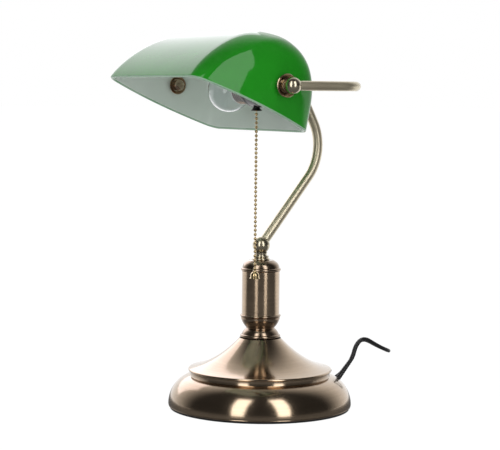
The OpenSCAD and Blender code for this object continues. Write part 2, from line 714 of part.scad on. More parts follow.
module near_nipple() {
    color("silver") near_side() along_x(nipple_in_x, 0, 0) ring(nipple_d / 2, nipple_bore_d / 2,
        arm_x - nipple_in_ball - nipple_in_x - seat_gap);
}

module nipple_nut() {
    color("silver") near_side() along_x(plate_x - nipple_nut_h, 0, 0)
        hex_nut(nipple_nut_af, nipple_nut_h - seat_gap, nipple_d / 2 + seat_gap);
}

module shade() {
    color("forestgreen") difference() {
        at_shade() shade_form(0, 0);
        at_shade() shade_form(glass_t, 1);
        for (s = [-1, 1]) along_x(s > 0 ? shade_half : -crown_x - glass_t, pivot_y, pivot_z)
            cylinder(r = glass_hole_d / 2, h = end_bow + glass_t, $fn = 64);
    }
}

module holder_plate() {
    color("silver") along_x(plate_x, holder_y, holder_z) difference() {
        cylinder(r = holder_cap_d / 2 - plate_gap - seat_gap, h = plate_t - seat_gap, $fn = 72);
        translate([-holder_drop, 0, -1]) cylinder(r = nipple_d / 2 + seat_gap, h = plate_t + 2, $fn = 48);
        for (s = [-1, 1]) translate([0, s * holder_cap_d / 2, plate_t / 2]) rotate([s * 90, 0, 0])
            cylinder(r = 1 + seat_gap, h = 6, $fn = 32);
    }
}

module holder_screws() {
    color("silver") for (s = [-1, 1])
        translate([plate_x + plate_t / 2, holder_y + s * (holder_cap_d / 2 - 0.1), holder_z])
            rotate([s * 90, 0, 0]) difference() {
                cylinder(r = 1, h = 5, $fn = 32);
                translate([-0.25, -2, -1]) cube([0.5, 4, 1.6]);
            }
}

module holder_cap() {
    r = holder_cap_d / 2;
    in = r - plate_gap;
    color("black") along_x(body_x, holder_y, holder_z) difference() {
        rotate_extrude($fn = 96) polygon([[in, 0], [r, 0], [r, holder_cap_l - 3], [r - 0.5, holder_cap_l - 1],
            [r - 1.6, holder_cap_l], [in, holder_cap_l]]);
        for (s = [-1, 1]) translate([0, s * (r + 1), plate_x - body_x + plate_t / 2]) rotate([s * 90, 0, 0])
            cylinder(r = 1 + seat_gap, h = 8, $fn = 32);
    }
}

module holder_body() {
    r = holder_d / 2;
    spigot = holder_cap_d / 2 - plate_gap - seat_gap;
    color("black") difference() {
        along_x(body_front_x, holder_y, holder_z) rotate_extrude($fn = 96)
            polygon([[screw_shell_d / 2 + seat_gap, 0], [r - 0.8, 0], [r, 0.8], [r, holder_l - seat_gap],
            [spigot, holder_l - seat_gap], [spigot, holder_l + spigot_l], [spigot - 2, holder_l + spigot_l],
            [spigot - 2, holder_l], [4, holder_l], [4, holder_l - body_floor],
            [screw_shell_d / 2 + seat_gap, holder_l - body_floor]]);
        translate([mouth_x, holder_y, mouth_top_z - 6])
            cylinder(r = mouth_neck_d / 2 + seat_gap, h = 8, $fn = 48);
    }
}

module screw_shell() {
    l = insert_x - body_front_x - seat_gap + shell_out_l;
    color("lightgray") along_x(body_front_x - shell_out_l, holder_y, holder_z)
        ring(screw_shell_d / 2, screw_shell_d / 2 - screw_shell_t, l);
}

module holder_insert() {
    color("white") along_x(insert_x, holder_y, holder_z) ring(screw_shell_d / 2, 2, insert_t - seat_gap);
}

module holder_contact() {
    color("gold") along_x(contact_x, holder_y, holder_z) cylinder(r = 4, h = contact_t - seat_gap, $fn = 32);
}

module switch_mouth() {
    color("black") translate([mouth_x, holder_y, mouth_z]) rotate_extrude($fn = 64)
        polygon([[mouth_bore_d / 2 + 1.6, 0], [mouth_d / 2, 0.2], [mouth_d / 2 - 0.5, 1.2],
        [mouth_neck_d / 2 + 0.3, mouth_h - 0.6], [mouth_neck_d / 2, mouth_h],
        [mouth_neck_d / 2, mouth_top_z - mouth_z],
        [mouth_bore_d / 2, mouth_top_z - mouth_z], [mouth_bore_d / 2, 1]]);
}

module bulb_globe() {
    r = globe_d / 2;
    l = cap_x - globe_x;
    neck_r = bulb_cap_d / 2 - 0.6;
    wall = 0.8;
    a = 52;
    color([0.9, 0.95, 1, 0.4]) along_x(globe_x, holder_y, holder_z) difference() {
        rotate_extrude($fn = 96) polygon(concat(arc(0, 0, r, -90, a, 24),
            bulge([r * cos(a) - 0.2, r * sin(a) + 0.8], [neck_r, l - 1.5], 0.8, 6),
            [[neck_r, l + 1.4], [0, l + 1.4]]));
        rotate_extrude($fn = 96) polygon(concat(arc(0, 0, r - wall, -90, a, 24),
            bulge([(r - wall) * cos(a) - 0.2, (r - wall) * sin(a) + 0.8], [neck_r - wall, l - 1.5], 0.8, 6),
            [[neck_r - wall, l + 0.6], [0, l + 0.6]]));
    }
}

module bulb_cap() {
    r = bulb_cap_d / 2;
    color("silver") along_x(cap_x, holder_y, holder_z) rotate_extrude($fn = 72)
        polygon([[r - 0.5, 0], [r, 0.3], [r, cap_len - 1], [r - 1.5, cap_len], [r - 2, cap_len],
        [r - 0.5, cap_len - 1.4]]);
}

module bulb_base() {
    r = bulb_cap_d / 2;
    color("black") along_x(cap_x + cap_len - 1.2, holder_y, holder_z)
        cylinder(r1 = r - 2.1, r2 = 4.6, h = 4.6, $fn = 64);
}

module bulb_mount() {
    l = cap_x - globe_x + 0.6 - seat_gap;
    color("white") along_x(globe_x, holder_y, holder_z) rotate_extrude($fn = 48) polygon([[0, mount_tip],
        [1.2, mount_tip], [1.4, mount_tip + 3], [1.8, mount_tip + 6], [3.2, l - 2], [4.6, l], [0, l]]);
}

module bulb_filament() {
    color("silver") along_x(globe_x, holder_y, holder_z) sweep(filament_route, filament_r, 6, [1, 0, 0]);
}

module bead(z) {
    translate([mouth_x, holder_y, z]) sphere(r = bead_d / 2, $fn = 24);
}

module link_rod(z, h) {
    translate([mouth_x, holder_y, z]) cylinder(r = link_d / 2, h = h, $fn = 16);
}

module chain_eye() {
    color("gold") {
        bead(eye_z);
        translate([mouth_x, holder_y, eye_z]) cylinder(r = 1, h = eye_top_z - eye_z, $fn = 24);
    }
}

// First beads, hung on the switch's bead
module chain_link() {
    color("gold") {
        for (i = [0:link_beads - 1]) bead(first_bead_z - i * bead_pitch);
        link_rod(first_bead_z - (link_beads - 1) * bead_pitch,
            (link_beads - 1) * bead_pitch + (eye_z - bead_d / 2 - bead_gap - first_bead_z));
    }
}

module pull_chain() {
    top = first_bead_z - (link_beads - 1) * bead_pitch - bead_d / 2 - bead_gap;
    color("gold") {
        for (i = [link_beads:bead_count - 1]) bead(first_bead_z - i * bead_pitch);
        link_rod(last_bead_z, top - last_bead_z);
    }
}

module pull_bell() {
    r = bell_pull_d / 2;
    color("gold") translate([mouth_x, holder_y, bell_top_z - bell_pull_h]) rotate_extrude($fn = 48)
        polygon(concat([[0.4, bell_pull_h - 2], [0.4, bell_pull_h], [1.4, bell_pull_h],
        [2, bell_pull_h - 0.8], [2, bell_pull_h - 1.2]],
        bulge([2.3, bell_pull_h - 1.6], [r - 0.9, 1.5], 0.9, 8), [[r, 0.6], [r - 0.2, 0], [r - 0.9, 0.3]],
        bulge([r - 1.7, 1.6], [1.7, bell_pull_h - 2.6], -0.6, 6)));
}

module wiring() {
    color("gray") sweep(wire_route, wire_r, 8, [1, 0, 0]);
}

module relief_oval(w, t) {
    hull() for (s = [-1, 1]) translate([s * (w - t) / 2, 0]) circle(r = t / 2, $fn = 24);
}

module strain_relief() {
    color("black") translate([0, relief_y, relief_z]) rotate([relief_lean - 90, 0, 0]) union() {
        translate([0, 0, -relief_in]) cylinder(r = relief_w / 2, h = relief_in + 2, $fn = 48);
        translate([0, 0, 2]) linear_extrude(height = relief_l - 2, scale = relief_end / relief_root)
            relief_oval(relief_w, relief_root);
    }
}

module cord_lead() {
    color("black") sweep(lead_route, cord_r, 8, [1, 0, 0]);
}

module cord_coil() {
    color("black") translate([coil_x, coil_y, 0]) rotate_extrude($fn = 96) polygon([[coil_in + 1, 0],
        [coil_out - 1, 0], [coil_out, 1], [coil_out, coil_h - 1], [coil_out - 1, coil_h],
        [coil_in + 1, coil_h], [coil_in, coil_h - 1], [coil_in, 1]]);
}

module cord_tail() {
    color("black") sweep(tail_route, cord_r, 8, [0, 0, 1]);
}

module coil_tie() {
    w = coil_out - coil_in;
    color("black") translate([coil_x, coil_y, 0]) rotate([0, 0, tie_turn])
        translate([coil_in - tie_t - 0.2, -tie_w / 2, 0])
        difference() {
            cube([w + 2 * tie_t + 0.4, tie_w, coil_h + tie_t + 0.3]);
            translate([tie_t, -1, -1]) cube([w + 0.4, tie_w + 2, coil_h + 1.3]);
        }
}

// Puts the plug's frame on the table, pins along +X
module at_plug() {
    translate([plug_x, plug_y, plug_t / 2]) rotate([0, 0, plug_turn]) children();
}

module plug_body() {
    color("black") at_plug() hull() {
        for (s = [-1, 1])
            translate([6, s * (plug_w / 2 - 6), -plug_t / 2]) cylinder(r = 6, h = plug_t, $fn = 32);
        translate([plug_l - 5, 0, -plug_t / 2 + 2]) cylinder(r = 5, h = plug_t - 4, $fn = 32);
    }
}

module plug_pins() {
    color("silver") at_plug() for (s = [-1, 1]) translate([-pin_l, s * pin_gap / 2, 0]) rotate([0, 90, 0])
        cylinder(r = pin_d / 2, h = pin_l, $fn = 32);
}

base_shell();
base_weight();
base_pad();
base_nut();
base_washer();
threaded_rod();
collar();
cup();
column_tube();
column_cap();
neck();
stem_ball();
stem_tube();
yoke_tube();
near_ball_end();
far_ball_end();
near_outer_cup();
far_outer_cup();
outer_gaskets();
inner_gaskets();
near_bush();
far_bush();
near_inner_washer();
far_inner_cup();
far_screw();
near_nipple();
nipple_nut();
shade();
holder_plate();
holder_screws();
holder_cap();
holder_body();
screw_shell();
holder_insert();
holder_contact();
switch_mouth();
bulb_globe();
bulb_cap();
bulb_base();
bulb_mount();
bulb_filament();
chain_eye();
chain_link();
pull_chain();
pull_bell();
wiring();
strain_relief();
cord_lead();
cord_coil();
cord_tail();
coil_tie();
plug_body();
plug_pins();
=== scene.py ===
"""Dresses a banker desk lamp: its brass base, column and yoke, its cased glass shade, bulb, pull chain and lead."""

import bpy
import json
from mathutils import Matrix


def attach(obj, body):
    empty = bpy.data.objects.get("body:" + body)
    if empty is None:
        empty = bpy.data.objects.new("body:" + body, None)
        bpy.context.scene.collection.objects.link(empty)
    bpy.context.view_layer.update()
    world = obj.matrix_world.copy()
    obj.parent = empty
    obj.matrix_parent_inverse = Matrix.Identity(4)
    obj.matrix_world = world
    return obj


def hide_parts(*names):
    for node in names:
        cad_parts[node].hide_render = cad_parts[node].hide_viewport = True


bl_info = {
    "name": "Banker Desk Lamp",
    "version": (1, 0, 0),
    "blender": (4, 5, 0),
    "location": "3D View > Sidebar > Desk Lamp",
    "description": "A banker desk lamp with a tilting glass shade, a pull chain and a mains lead",
    "category": "Add Mesh",
}

import json
import math

import bmesh
import bpy
from bpy.props import FloatProperty, FloatVectorProperty, IntProperty, PointerProperty
from bpy.types import Operator, Panel, PropertyGroup
from mathutils import Matrix, Vector

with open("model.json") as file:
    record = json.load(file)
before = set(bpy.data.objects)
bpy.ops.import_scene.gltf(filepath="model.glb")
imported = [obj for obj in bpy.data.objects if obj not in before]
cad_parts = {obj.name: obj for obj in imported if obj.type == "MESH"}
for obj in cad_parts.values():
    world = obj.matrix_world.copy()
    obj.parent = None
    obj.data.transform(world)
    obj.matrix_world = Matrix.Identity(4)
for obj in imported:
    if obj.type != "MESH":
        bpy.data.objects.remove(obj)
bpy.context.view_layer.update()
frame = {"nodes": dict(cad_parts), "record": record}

JOINTS = {j["name"]: j for j in frame["record"]["behaviour"]["joints"]}
PIVOT = Vector(JOINTS["shade_tilt"]["pos_m"]) * 1000
CHAIN_TOP = Vector(JOINTS["chain_swing"]["pos_m"]) * 1000


def size(name, value, text):
    """A length property, given in millimetres and kept in metres."""
    return FloatProperty(name=name, description=text, default=value / 1000, min=0, subtype="DISTANCE", unit="LENGTH")


def angle(name, value, text):
    """An angle property, given in degrees."""
    return FloatProperty(name=name, description=text, default=math.radians(value), subtype="ANGLE")


def colour(name, value, text):
    """A colour property, in linear red, green and blue."""
    return FloatVectorProperty(name=name, description=text, default=value, size=3, min=0, max=1, subtype="COLOR")


def amount(name, value, text, top):
    """A plain number property from 0 to top."""
    return FloatProperty(name=name, description=text, default=value, min=0, max=top)


def count(name, value, text, low, top):
    """A whole number property from low to top."""
    return IntProperty(name=name, description=text, default=value, min=low, max=top)


class DESKLAMP_PG_base(PropertyGroup):
    width: size("Width", 190, "Diameter of the spun base")
    step: size("Step", 149, "Diameter of the raised step")
    step_z: size("Step height", 41, "Height of the step's rim over the table")
    bell: size("Bell height", 32, "Height of the bell from the step to the collar")
    bell_top: size("Bell top", 42.8, "Diameter of the bell's top")
    pad: size("Pad", 2, "Thickness of the felt pad")


class DESKLAMP_PG_column(PropertyGroup):
    tube: size("Tube", 39.2, "Diameter of the column's tube")
    length: size("Length", 45, "Length of the column's tube")
    collar: size("Collar", 10.5, "Height of the waisted collar")
    cup: size("Cup", 14, "Height of the cup")
    lip: size("Lip", 42.4, "Diameter of the cup's lip and the collar's bead")
    waist: size("Waist", 29.2, "Diameter of the waist")
    cap: size("Cap", 11.4, "Height of the domed cap")
    neck: size("Neck", 7.6, "Height of the ringed neck")
    ball: size("Ball", 18, "Diameter of the ball under the stem")
    sunk: size("Ball in neck", 1.2, "How far the ball sits in the neck")
    bore: size("Bore", 10.2, "Bore for the rod")


class DESKLAMP_PG_yoke(PropertyGroup):
    stem: size("Stem", 10, "Diameter of the stem tube")
    lean: angle("Lean", 39.3, "Lean of the stem's lower part")
    straight: size("Straight", 90, "Length of the stem's straight lower part")
    bend: size("Bend", 52, "Radius of the stem's bend")
    turn: angle("Turn", 66.5, "Angle of the stem's bend")
    top: size("Top", 42.6, "Length of the stem's upper part")
    tube: size("Yoke tube", 9.5, "Diameter of the yoke's tube")
    arm: size("Arm", 86.5, "Distance from the crossbar to the pivot line")
    corner: size("Corner", 28, "Radius of the yoke's corners")
    ball: size("Ball end", 16, "Diameter of the ball ends")
    gap: size("Ball gap", 14.6, "Distance from the shade's crown to a ball end's centre")


class DESKLAMP_PG_shade(PropertyGroup):
    width: size("Opening", 140.3, "Width of the opening")
    half: size("Half length", 92.5, "Half length at the corners")
    bow: size("End bow", 16.5, "How far the ends stand out")
    height: size("Height", 80.6, "Height of the crest over the opening")
    crest: size("Crest", 84.7, "Distance of the crest from the front lip")
    pivot_w: size("Pivot from lip", 85.6, "Distance of the pivot from the front lip")
    pivot_h: size("Pivot height", 27.5, "Height of the pivot over the opening")
    slope: angle("Slope", 22.7, "Slope of the opening")
    corner: size("Corner", 10.6, "Corner radius of the opening")
    glass: size("Glass", 3, "Thickness of the cased glass")
    hole: size("Hole", 12, "Diameter of the pivot holes")
    levels: count("Levels", 46, "Rings of the glass from opening to crest", 12, 120)
    points: count("Side points", 20, "Points along each end of a ring", 6, 60)


class DESKLAMP_PG_light(PropertyGroup):
    """Lampholder, bulb and pull chain."""

    drop: size("Drop", 5, "Drop of the lampholder under the pivot line")
    cap: size("Cap", 34, "Diameter of the lampholder's cap")
    body: size("Body", 33, "Diameter of the switch body")
    shell: size("Screw shell", 27.6, "Diameter of the screw shell")
    globe: size("Globe", 44, "Diameter of the bulb's globe")
    bead: size("Bead", 3.2, "Diameter of a chain bead")
    pitch: size("Pitch", 4.25, "Distance between two beads")
    beads: count("Beads", 37, "Number of beads on the chain", 10, 60)
    bell: size("Chain bell", 8.2, "Height of the chain's bell")


class DESKLAMP_PG_lead(PropertyGroup):
    width: size("Lead width", 5.4, "Width of the flat twin lead")
    thickness: size("Lead thickness", 4, "Thickness of the flat twin lead")
    coil: size("Coil", 30, "Middle radius of the stored coil")


class DESKLAMP_PG_finish(PropertyGroup):
    brass: colour("Brass", (0.60, 0.455, 0.315), "Bright antique brass")
    yellow: colour("Yellow brass", (0.92, 0.82, 0.60), "Yellower brass of stem, yoke, ball ends and neck")
    patina: colour("Patina", (0.16, 0.105, 0.07), "Brown of the patina")
    # Dark brass is a darker copy of the bright brass: collar, cup and cap are the same metal, and the darker tone
    # paints in the shade they show.
    dark: colour("Dark brass", (0.43, 0.32, 0.225), "Shaded brass of collar, cup and cap")
    chain: colour("Chain", (0.83, 0.63, 0.33), "Brass of the chain")
    green: colour("Green", (0.016, 0.25, 0.014), "Green of the cased glass")
    # The opal lining is white; its green tint paints in the light that comes through the green casing.
    opal: colour("Opal", (0.70, 0.79, 0.72), "White lining of the shade")


class DESKLAMP_PG_stage(PropertyGroup):
    lens: FloatProperty(name="Lens", description="Focal length", default=0.1225, unit="CAMERA")
    azimuth: angle("Azimuth", 58.5, "Direction of the view")
    distance: size("Distance", 1754, "Distance of the camera")
    height: size("Height", 326.4, "Height of the camera")
    target: size("Target", 190, "Height that the camera looks at")
    slide: FloatProperty(name="Slide", description="Sideways offset of the camera", default=-0.0118, unit="LENGTH")
    roll: angle("Roll", 0.59, "Roll of the camera")
    strips: amount("Strips", 2.6, "Brightness of the two tall softboxes beside the camera", 20)
    top: amount("Back", 0.95, "Brightness of the softbox behind the shade", 20)
    room: amount("Room", 0.03, "Brightness of the room behind the camera, as metal shows it", 4)
    fill: amount("Fill", 0.33, "Brightness of the soft light from all round, which gloss doesn't show", 4)


PREFIX = "desk_lamp_"
GROUPS = {PREFIX + cls.__name__[len("DESKLAMP_PG_"):]: cls for cls in (
    DESKLAMP_PG_base, DESKLAMP_PG_column, DESKLAMP_PG_yoke, DESKLAMP_PG_shade,
    DESKLAMP_PG_light, DESKLAMP_PG_lead, DESKLAMP_PG_finish, DESKLAMP_PG_stage)}


def mm(group):
    """The scene's sizes of one group, lengths in millimetres, by name."""
    values = getattr(bpy.context.scene, PREFIX + group)
    found = {}
    for key, prop in values.bl_rna.properties.items():
        if key not in ("rna_type", "name"):
            value = getattr(values, key)
            found[key] = value * 1000 if prop.unit == "LENGTH" else value
    return type("Sizes", (), found)


# ---------------------------------------------------------------- shapes, in millimetres


def arc(x, y, r, a0, a1, n):
    """Points round x, y from one angle in degrees to another, in n steps."""
    turns = [math.radians(a0 + (a1 - a0) * i / n) for i in range(n + 1)]
    return [(x + r * math.cos(a), y + r * math.sin(a)) for a in turns]


def circle(r, n):
    """Points round a circle, from the X axis on."""
    return arc(0, 0, r, 0, 360, n)[:-1]


def between(p, q, n):
    """The points that divide the way from p to q in n, without its ends."""
    return [tuple(a + (b - a) * i / n for a, b in zip(p, q)) for i in range(1, n)]


def bulge(p, q, b, n):
    """Points from p to q that stand out to the side by b at the middle."""
    dx, dy = q[0] - p[0], q[1] - p[1]
    long = math.hypot(dx, dy)
    found = []
    for i in range(n + 1):
        s = i / n
        k = b * 4 * s * (1 - s) / long
        found.append((p[0] + dx * s - dy * k, p[1] + dy * s + dx * k))
    return found


def rounded(points, r, n=4):
    """The same outline with its inner points rounded to radius r where there is room."""
    found = [points[0]]
    for a, b, c in zip(points, points[1:], points[2:]):
        b = Vector(b)
        va, vc = Vector(a) - b, Vector(c) - b
        cut = min(r, va.length * 0.45, vc.length * 0.45)
        p, q = b + va.normalized() * cut, b + vc.normalized() * cut
        for i in range(n + 1):
            t = i / n
            found.append(tuple(p * (1 - t) ** 2 + b * 2 * t * (1 - t) + q * t * t))
    return found + [points[-1]]


def near(x, y, *steps):
    """Points at the given steps from x, y."""
    return [(x + a, y + b) for a, b in steps]


PITCH, RIDGE_POINTS = 3.53, 10


def thread(r, depth, z, n):
    """Outline of a rolled screw thread round radius r: n points up from z."""
    turns = [i / RIDGE_POINTS for i in range(n)]
    return [(r + depth * math.cos(2 * math.pi * turn), z + PITCH * turn) for turn in turns]


def spun(profile, sides, closed=False):
    """Vertices and faces of an outline of (radius, height) turned about Z. Radii near 0 meet in one point."""
    verts, rows, faces = [], [], []
    for r, z in profile:
        start = len(verts)
        if abs(r) < 1e-4:
            rows.append([start] * sides)
            verts.append((0, 0, z))
        else:
            rows.append(list(range(start, start + sides)))
            verts += [(x, y, z) for x, y in circle(r, sides)]
    for low, high in list(zip(rows, rows[1:])) + ([(rows[-1], rows[0])] if closed else []):
        for k in range(sides):
            face = [low[k], low[(k + 1) % sides], high[(k + 1) % sides], high[k]]
            face = [v for i, v in enumerate(face) if v != face[i - 1]]
            if len(face) > 2:
                faces.append(face)
    return verts, faces


def lofted(rings):
    """A skin over rings of equally many points, with a flat face over each end."""
    n, last = len(rings[0]), len(rings) - 1
    faces = []
    for start in range(0, last * n, n):
        for k in range(n):
            a, b = start + k, start + (k + 1) % n
            faces.append((a, b, b + n, a + n))
    faces += [tuple(range(n)), tuple(range(last * n, (last + 1) * n))]
    return [point for ring in rings for point in ring], faces


def swept(points, outline, start, swell=None):
    """A tube of the given outline (side, up) along a route, without twist. swell widens each ring."""
    rings, side, last = [], Vector(start), len(points) - 1
    for i, p in enumerate(points):
        ahead = (Vector(points[min(i + 1, last)]) - Vector(points[max(i - 1, 0)])).normalized()
        side = (side - ahead * side.dot(ahead)).normalized()
        up = ahead.cross(side)
        k = swell[i] if swell else 1
        rings.append([tuple(Vector(p) + (side * a + up * b) * k) for a, b in outline])
    return lofted(rings)


def smooth_route(points, step):
    """A smooth curve through the points, a point about every step."""
    pts = [Vector(p) for p in points]
    found = []
    for i in range(len(pts) - 1):
        p0, p1, p2, p3 = pts[max(i - 1, 0)], pts[i], pts[i + 1], pts[min(i + 2, len(pts) - 1)]
        square, cube = 2 * p0 - 5 * p1 + 4 * p2 - p3, 3 * p1 - p0 - 3 * p2 + p3
        n = max(1, round((p2 - p1).length / step))
        for t in [k / n for k in range(n)]:
            found.append(0.5 * (2 * p1 + (p2 - p0) * t + square * t * t + cube * t**3))
    return [tuple(v) for v in found] + [tuple(pts[-1])]


def turned(shape, matrix):
    """A shape carried to its place by a matrix."""
    return [tuple(matrix @ Vector(v)) for v in shape[0]], shape[1]


def joined(*shapes):
    """Several shapes as one."""
    verts, faces = [], []
    for v, f in shapes:
        faces += [tuple(i + len(verts) for i in face) for face in f]
        verts += v
    return verts, faces


def moved(x, y, z):
    """Matrix of a move."""
    return Matrix.Translation((x, y, z))


def spin(degrees, axis):
    """Matrix of a turn about an axis."""
    return Matrix.Rotation(math.radians(degrees), 4, axis)


def along_x(x, y, z):
    """Matrix that lays a shape made along +Z along +X, from x, on the line y, z."""
    return moved(x, y, z) @ spin(90, "Y")


def mesh_of(name, shape):
    """A mesh, which is kept in metres, of a shape in millimetres."""
    mesh = bpy.data.meshes.new(name)
    mesh.from_pydata([tuple(c / 1000 for c in v) for v in shape[0]], [], shape[1])
    return mesh


def linked(name, data):
    """A new object in the scene."""
    obj = bpy.data.objects.new(name, data)
    bpy.context.scene.collection.objects.link(obj)
    return obj


def make_piece(name, shape, finishes, nodes, place=None, body="lamp", sharp=38, picks=None, post=None):
    """Makes one visible piece from a shape in millimetres that rides on a body and stands for CAD nodes."""
    mesh = mesh_of(name, shape)
    for finish in finishes:
        mesh.materials.append(MATERIALS[finish])
    if picks:
        mesh.polygons.foreach_set("material_index", picks)
    tidy = bmesh.new()
    tidy.from_mesh(mesh)
    bmesh.ops.recalc_face_normals(tidy, faces=tidy.faces)
    tidy.to_mesh(mesh)
    tidy.free()
    mesh.shade_smooth()
    mesh.set_sharp_from_angle(angle=math.radians(sharp))
    obj = linked(name, mesh)
    if place is not None:
        in_metres = place.copy()
        in_metres.translation = place.translation / 1000
        obj.matrix_world = in_metres
    if post:
        post(obj)
    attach(obj, body)
    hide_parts(*nodes)
    return obj


# ---------------------------------------------------------------- materials


def feed(tree, inlet, value):
    """Links a socket to an inlet, or sets a number or a colour on it."""
    if isinstance(value, bpy.types.NodeSocket):
        tree.links.new(value, inlet)
    else:
        inlet.default_value = (*value, 1) if inlet.type == "RGBA" else value


def new_node(tree, kind, *values, **settings):
    """A new node with its settings, and with its first inlets fed in order."""
    made = tree.nodes.new(kind)
    for key, value in settings.items():
        setattr(made, key, value)
    for inlet, value in zip(made.inputs, values):
        feed(tree, inlet, value)
    return made


def calc(tree, operation, *values):
    """A sum done on sockets or numbers."""
    return new_node(tree, "ShaderNodeMath", *values, operation=operation).outputs[0]


def times(tree, a, b):
    """One socket or number times another."""
    return calc(tree, "MULTIPLY", a, b)


def blended(tree, factor, a, b):
    """Mixes two colours, given as sockets or values."""
    made = new_node(tree, "ShaderNodeMix", factor, data_type="RGBA")
    feed(tree, made.inputs[6], a)
    feed(tree, made.inputs[7], b)
    return made.outputs[2]


def ranged(tree, value, a, b, c=0, d=1, curve="LINEAR"):
    """Spreads what lies between a and b over c to d, and cuts off the rest."""
    return new_node(tree, "ShaderNodeMapRange", value, a, b, c, d, interpolation_type=curve).outputs[0]


def noise(tree, vector, scale, detail, roughness=0.5):
    """The height of a noise."""
    made = new_node(tree, "ShaderNodeTexNoise", vector)
    feed(tree, made.inputs["Scale"], scale)
    feed(tree, made.inputs["Detail"], detail)
    feed(tree, made.inputs["Roughness"], roughness)
    return made.outputs[0]


def scaled(tone, k):
    """A colour made k times as bright."""
    return [min(1, c * k) for c in tone]


def new_group(name, numbers, results):
    """A shared node group that takes a vector and numbers, with the numbers' usual values."""
    tree = bpy.data.node_groups.new(name, "ShaderNodeTree")
    tree.interface.new_socket("Vector", in_out="INPUT", socket_type="NodeSocketVector")
    for label, value in numbers.items():
        tree.interface.new_socket(label, in_out="INPUT", socket_type="NodeSocketFloat").default_value = value
    for label in results:
        tree.interface.new_socket(label, in_out="OUTPUT", socket_type="NodeSocketFloat")
    return tree, tree.nodes.new("NodeGroupInput").outputs, tree.nodes.new("NodeGroupOutput").inputs


def group_turned_lines():
    """Fine lines left by a brush or a tool as the piece turned about its Z axis."""
    tree, given, result = new_group("Turned Lines", {"Lines": 2600.0, "Drift": 6.0}, ["Height", "Mask"])
    x, y, z = new_node(tree, "ShaderNodeSeparateXYZ", given["Vector"]).outputs
    radius = calc(tree, "SQRT", calc(tree, "ADD", times(tree, x, x), times(tree, y, y)))
    drift = times(tree, calc(tree, "SINE", calc(tree, "ARCTAN2", y, x)), given["Drift"])
    out, up = (times(tree, way, given["Lines"]) for way in (radius, z))
    lines = new_node(tree, "ShaderNodeCombineXYZ", out, up, drift).outputs[0]
    feed(tree, result["Height"], noise(tree, lines, 1.0, 3.0, 0.65))
    feed(tree, result["Mask"], ranged(tree, noise(tree, lines, 0.12, 2.0), 0.35, 0.65))


def group_patina():
    """Clouds of brown patina, thicker in places, and small dark specks."""
    tree, given, result = new_group("Patina", {"Scale": 30.0, "Cover": 0.4}, ["Mask", "Specks"])
    cloud = ranged(tree, noise(tree, given["Vector"], given["Scale"], 5.0, 0.6), 0.3, 0.75)
    feed(tree, result["Mask"], times(tree, cloud, given["Cover"]))
    speck = noise(tree, given["Vector"], times(tree, given["Scale"], 34.0), 1.0)
    feed(tree, result["Specks"], ranged(tree, speck, 0.68, 0.74))


def group_edge_wear():
    """Where the finish is rubbed thin along raised edges."""
    tree, given, result = new_group("Edge Wear", {"Width": 0.06, "Wear": 0.6}, ["Mask"])
    raised = calc(tree, "SUBTRACT", tree.nodes.new("ShaderNodeNewGeometry").outputs["Pointiness"], 0.5)
    edge = calc(tree, "DIVIDE", raised, given["Width"])
    edge = times(tree, edge, calc(tree, "ADD", noise(tree, given["Vector"], 160.0, 4.0), 0.4))
    feed(tree, result["Mask"], new_node(tree, "ShaderNodeClamp", times(tree, edge, given["Wear"])).outputs[0])


def group_dust():
    """A thin settled dust on what faces up."""
    tree, given, result = new_group("Dust", {"Scale": 90.0, "Cover": 0.1}, ["Mask"])
    normal = tree.nodes.new("ShaderNodeNewGeometry").outputs["Normal"]
    up = ranged(tree, new_node(tree, "ShaderNodeSeparateXYZ", normal).outputs[2], 0.3, 1.0)
    grains = ranged(tree, noise(tree, given["Vector"], given["Scale"], 6.0, 0.7), 0.35, 0.75)
    feed(tree, result["Mask"], times(tree, times(tree, up, grains), given["Cover"]))


def placed(tree, group, vector, **values):
    """Puts a shared node group into a material. Gives its outputs."""
    made = new_node(tree, "ShaderNodeGroup", node_tree=bpy.data.node_groups[group])
    for key, value in {"Vector": vector, **values}.items():
        feed(tree, made.inputs[key], value)
    return made.outputs


def blank(name, **values):
    """A material with one Principled shader: gives it, its tree, the shader's inlets and object coordinates."""
    mat = bpy.data.materials.new(name)
    mat.use_nodes = True
    tree = mat.node_tree
    shader = tree.nodes["Principled BSDF"].inputs
    for key, value in values.items():
        shader[key.replace("_", " ")].default_value = value
    return mat, tree, shader, tree.nodes.new("ShaderNodeTexCoord").outputs["Object"]


def bumped(tree, shader, height, strength, distance):
    """Lets a height shape the light on the surface."""
    made = tree.nodes.new("ShaderNodeBump")
    for key, value in (("Strength", strength), ("Distance", distance), ("Height", height)):
        feed(tree, made.inputs[key], value)
    feed(tree, shader["Normal"], made.outputs[0])


def brass(name, bright, dark, cover, rough, wear=0.5, specks=0.5, lines=0, aniso=0.0, streak=0.1, bump=0.0):
    """Lacquered brass under a cover of patina, with rubbed edges and, where it was spun, the brush's lines."""
    mat, tree, shader, coords = blank(name, Metallic=1.0, Anisotropic=aniso, Anisotropic_Rotation=0.25,
                                      Coat_Weight=0.6, Coat_Roughness=0.06)
    patina = placed(tree, "Patina", coords, Scale=38.0, Cover=cover)
    tone = blended(tree, patina["Mask"], bright, dark)
    tone = blended(tree, times(tree, patina["Specks"], specks), tone, scaled(dark, 0.35))
    roughness = calc(tree, "ADD", times(tree, patina["Mask"], 0.05), rough)
    if lines:
        turning = placed(tree, "Turned Lines", coords, Lines=lines)
        tone = blended(tree, times(tree, turning["Mask"], streak), tone, dark)
        roughness = calc(tree, "ADD", roughness, times(tree, turning["Height"], 0.04))
        bumped(tree, shader, turning["Height"], bump, 0.00012)
    if aniso:
        round_z = new_node(tree, "ShaderNodeTangent", direction_type="RADIAL", axis="Z")
        feed(tree, shader["Tangent"], round_z.outputs[0])
    edges = placed(tree, "Edge Wear", coords, Wear=wear)["Mask"]
    feed(tree, shader["Base Color"], blended(tree, edges, tone, scaled(bright, 1.25)))
    feed(tree, shader["Roughness"], roughness)
    return mat


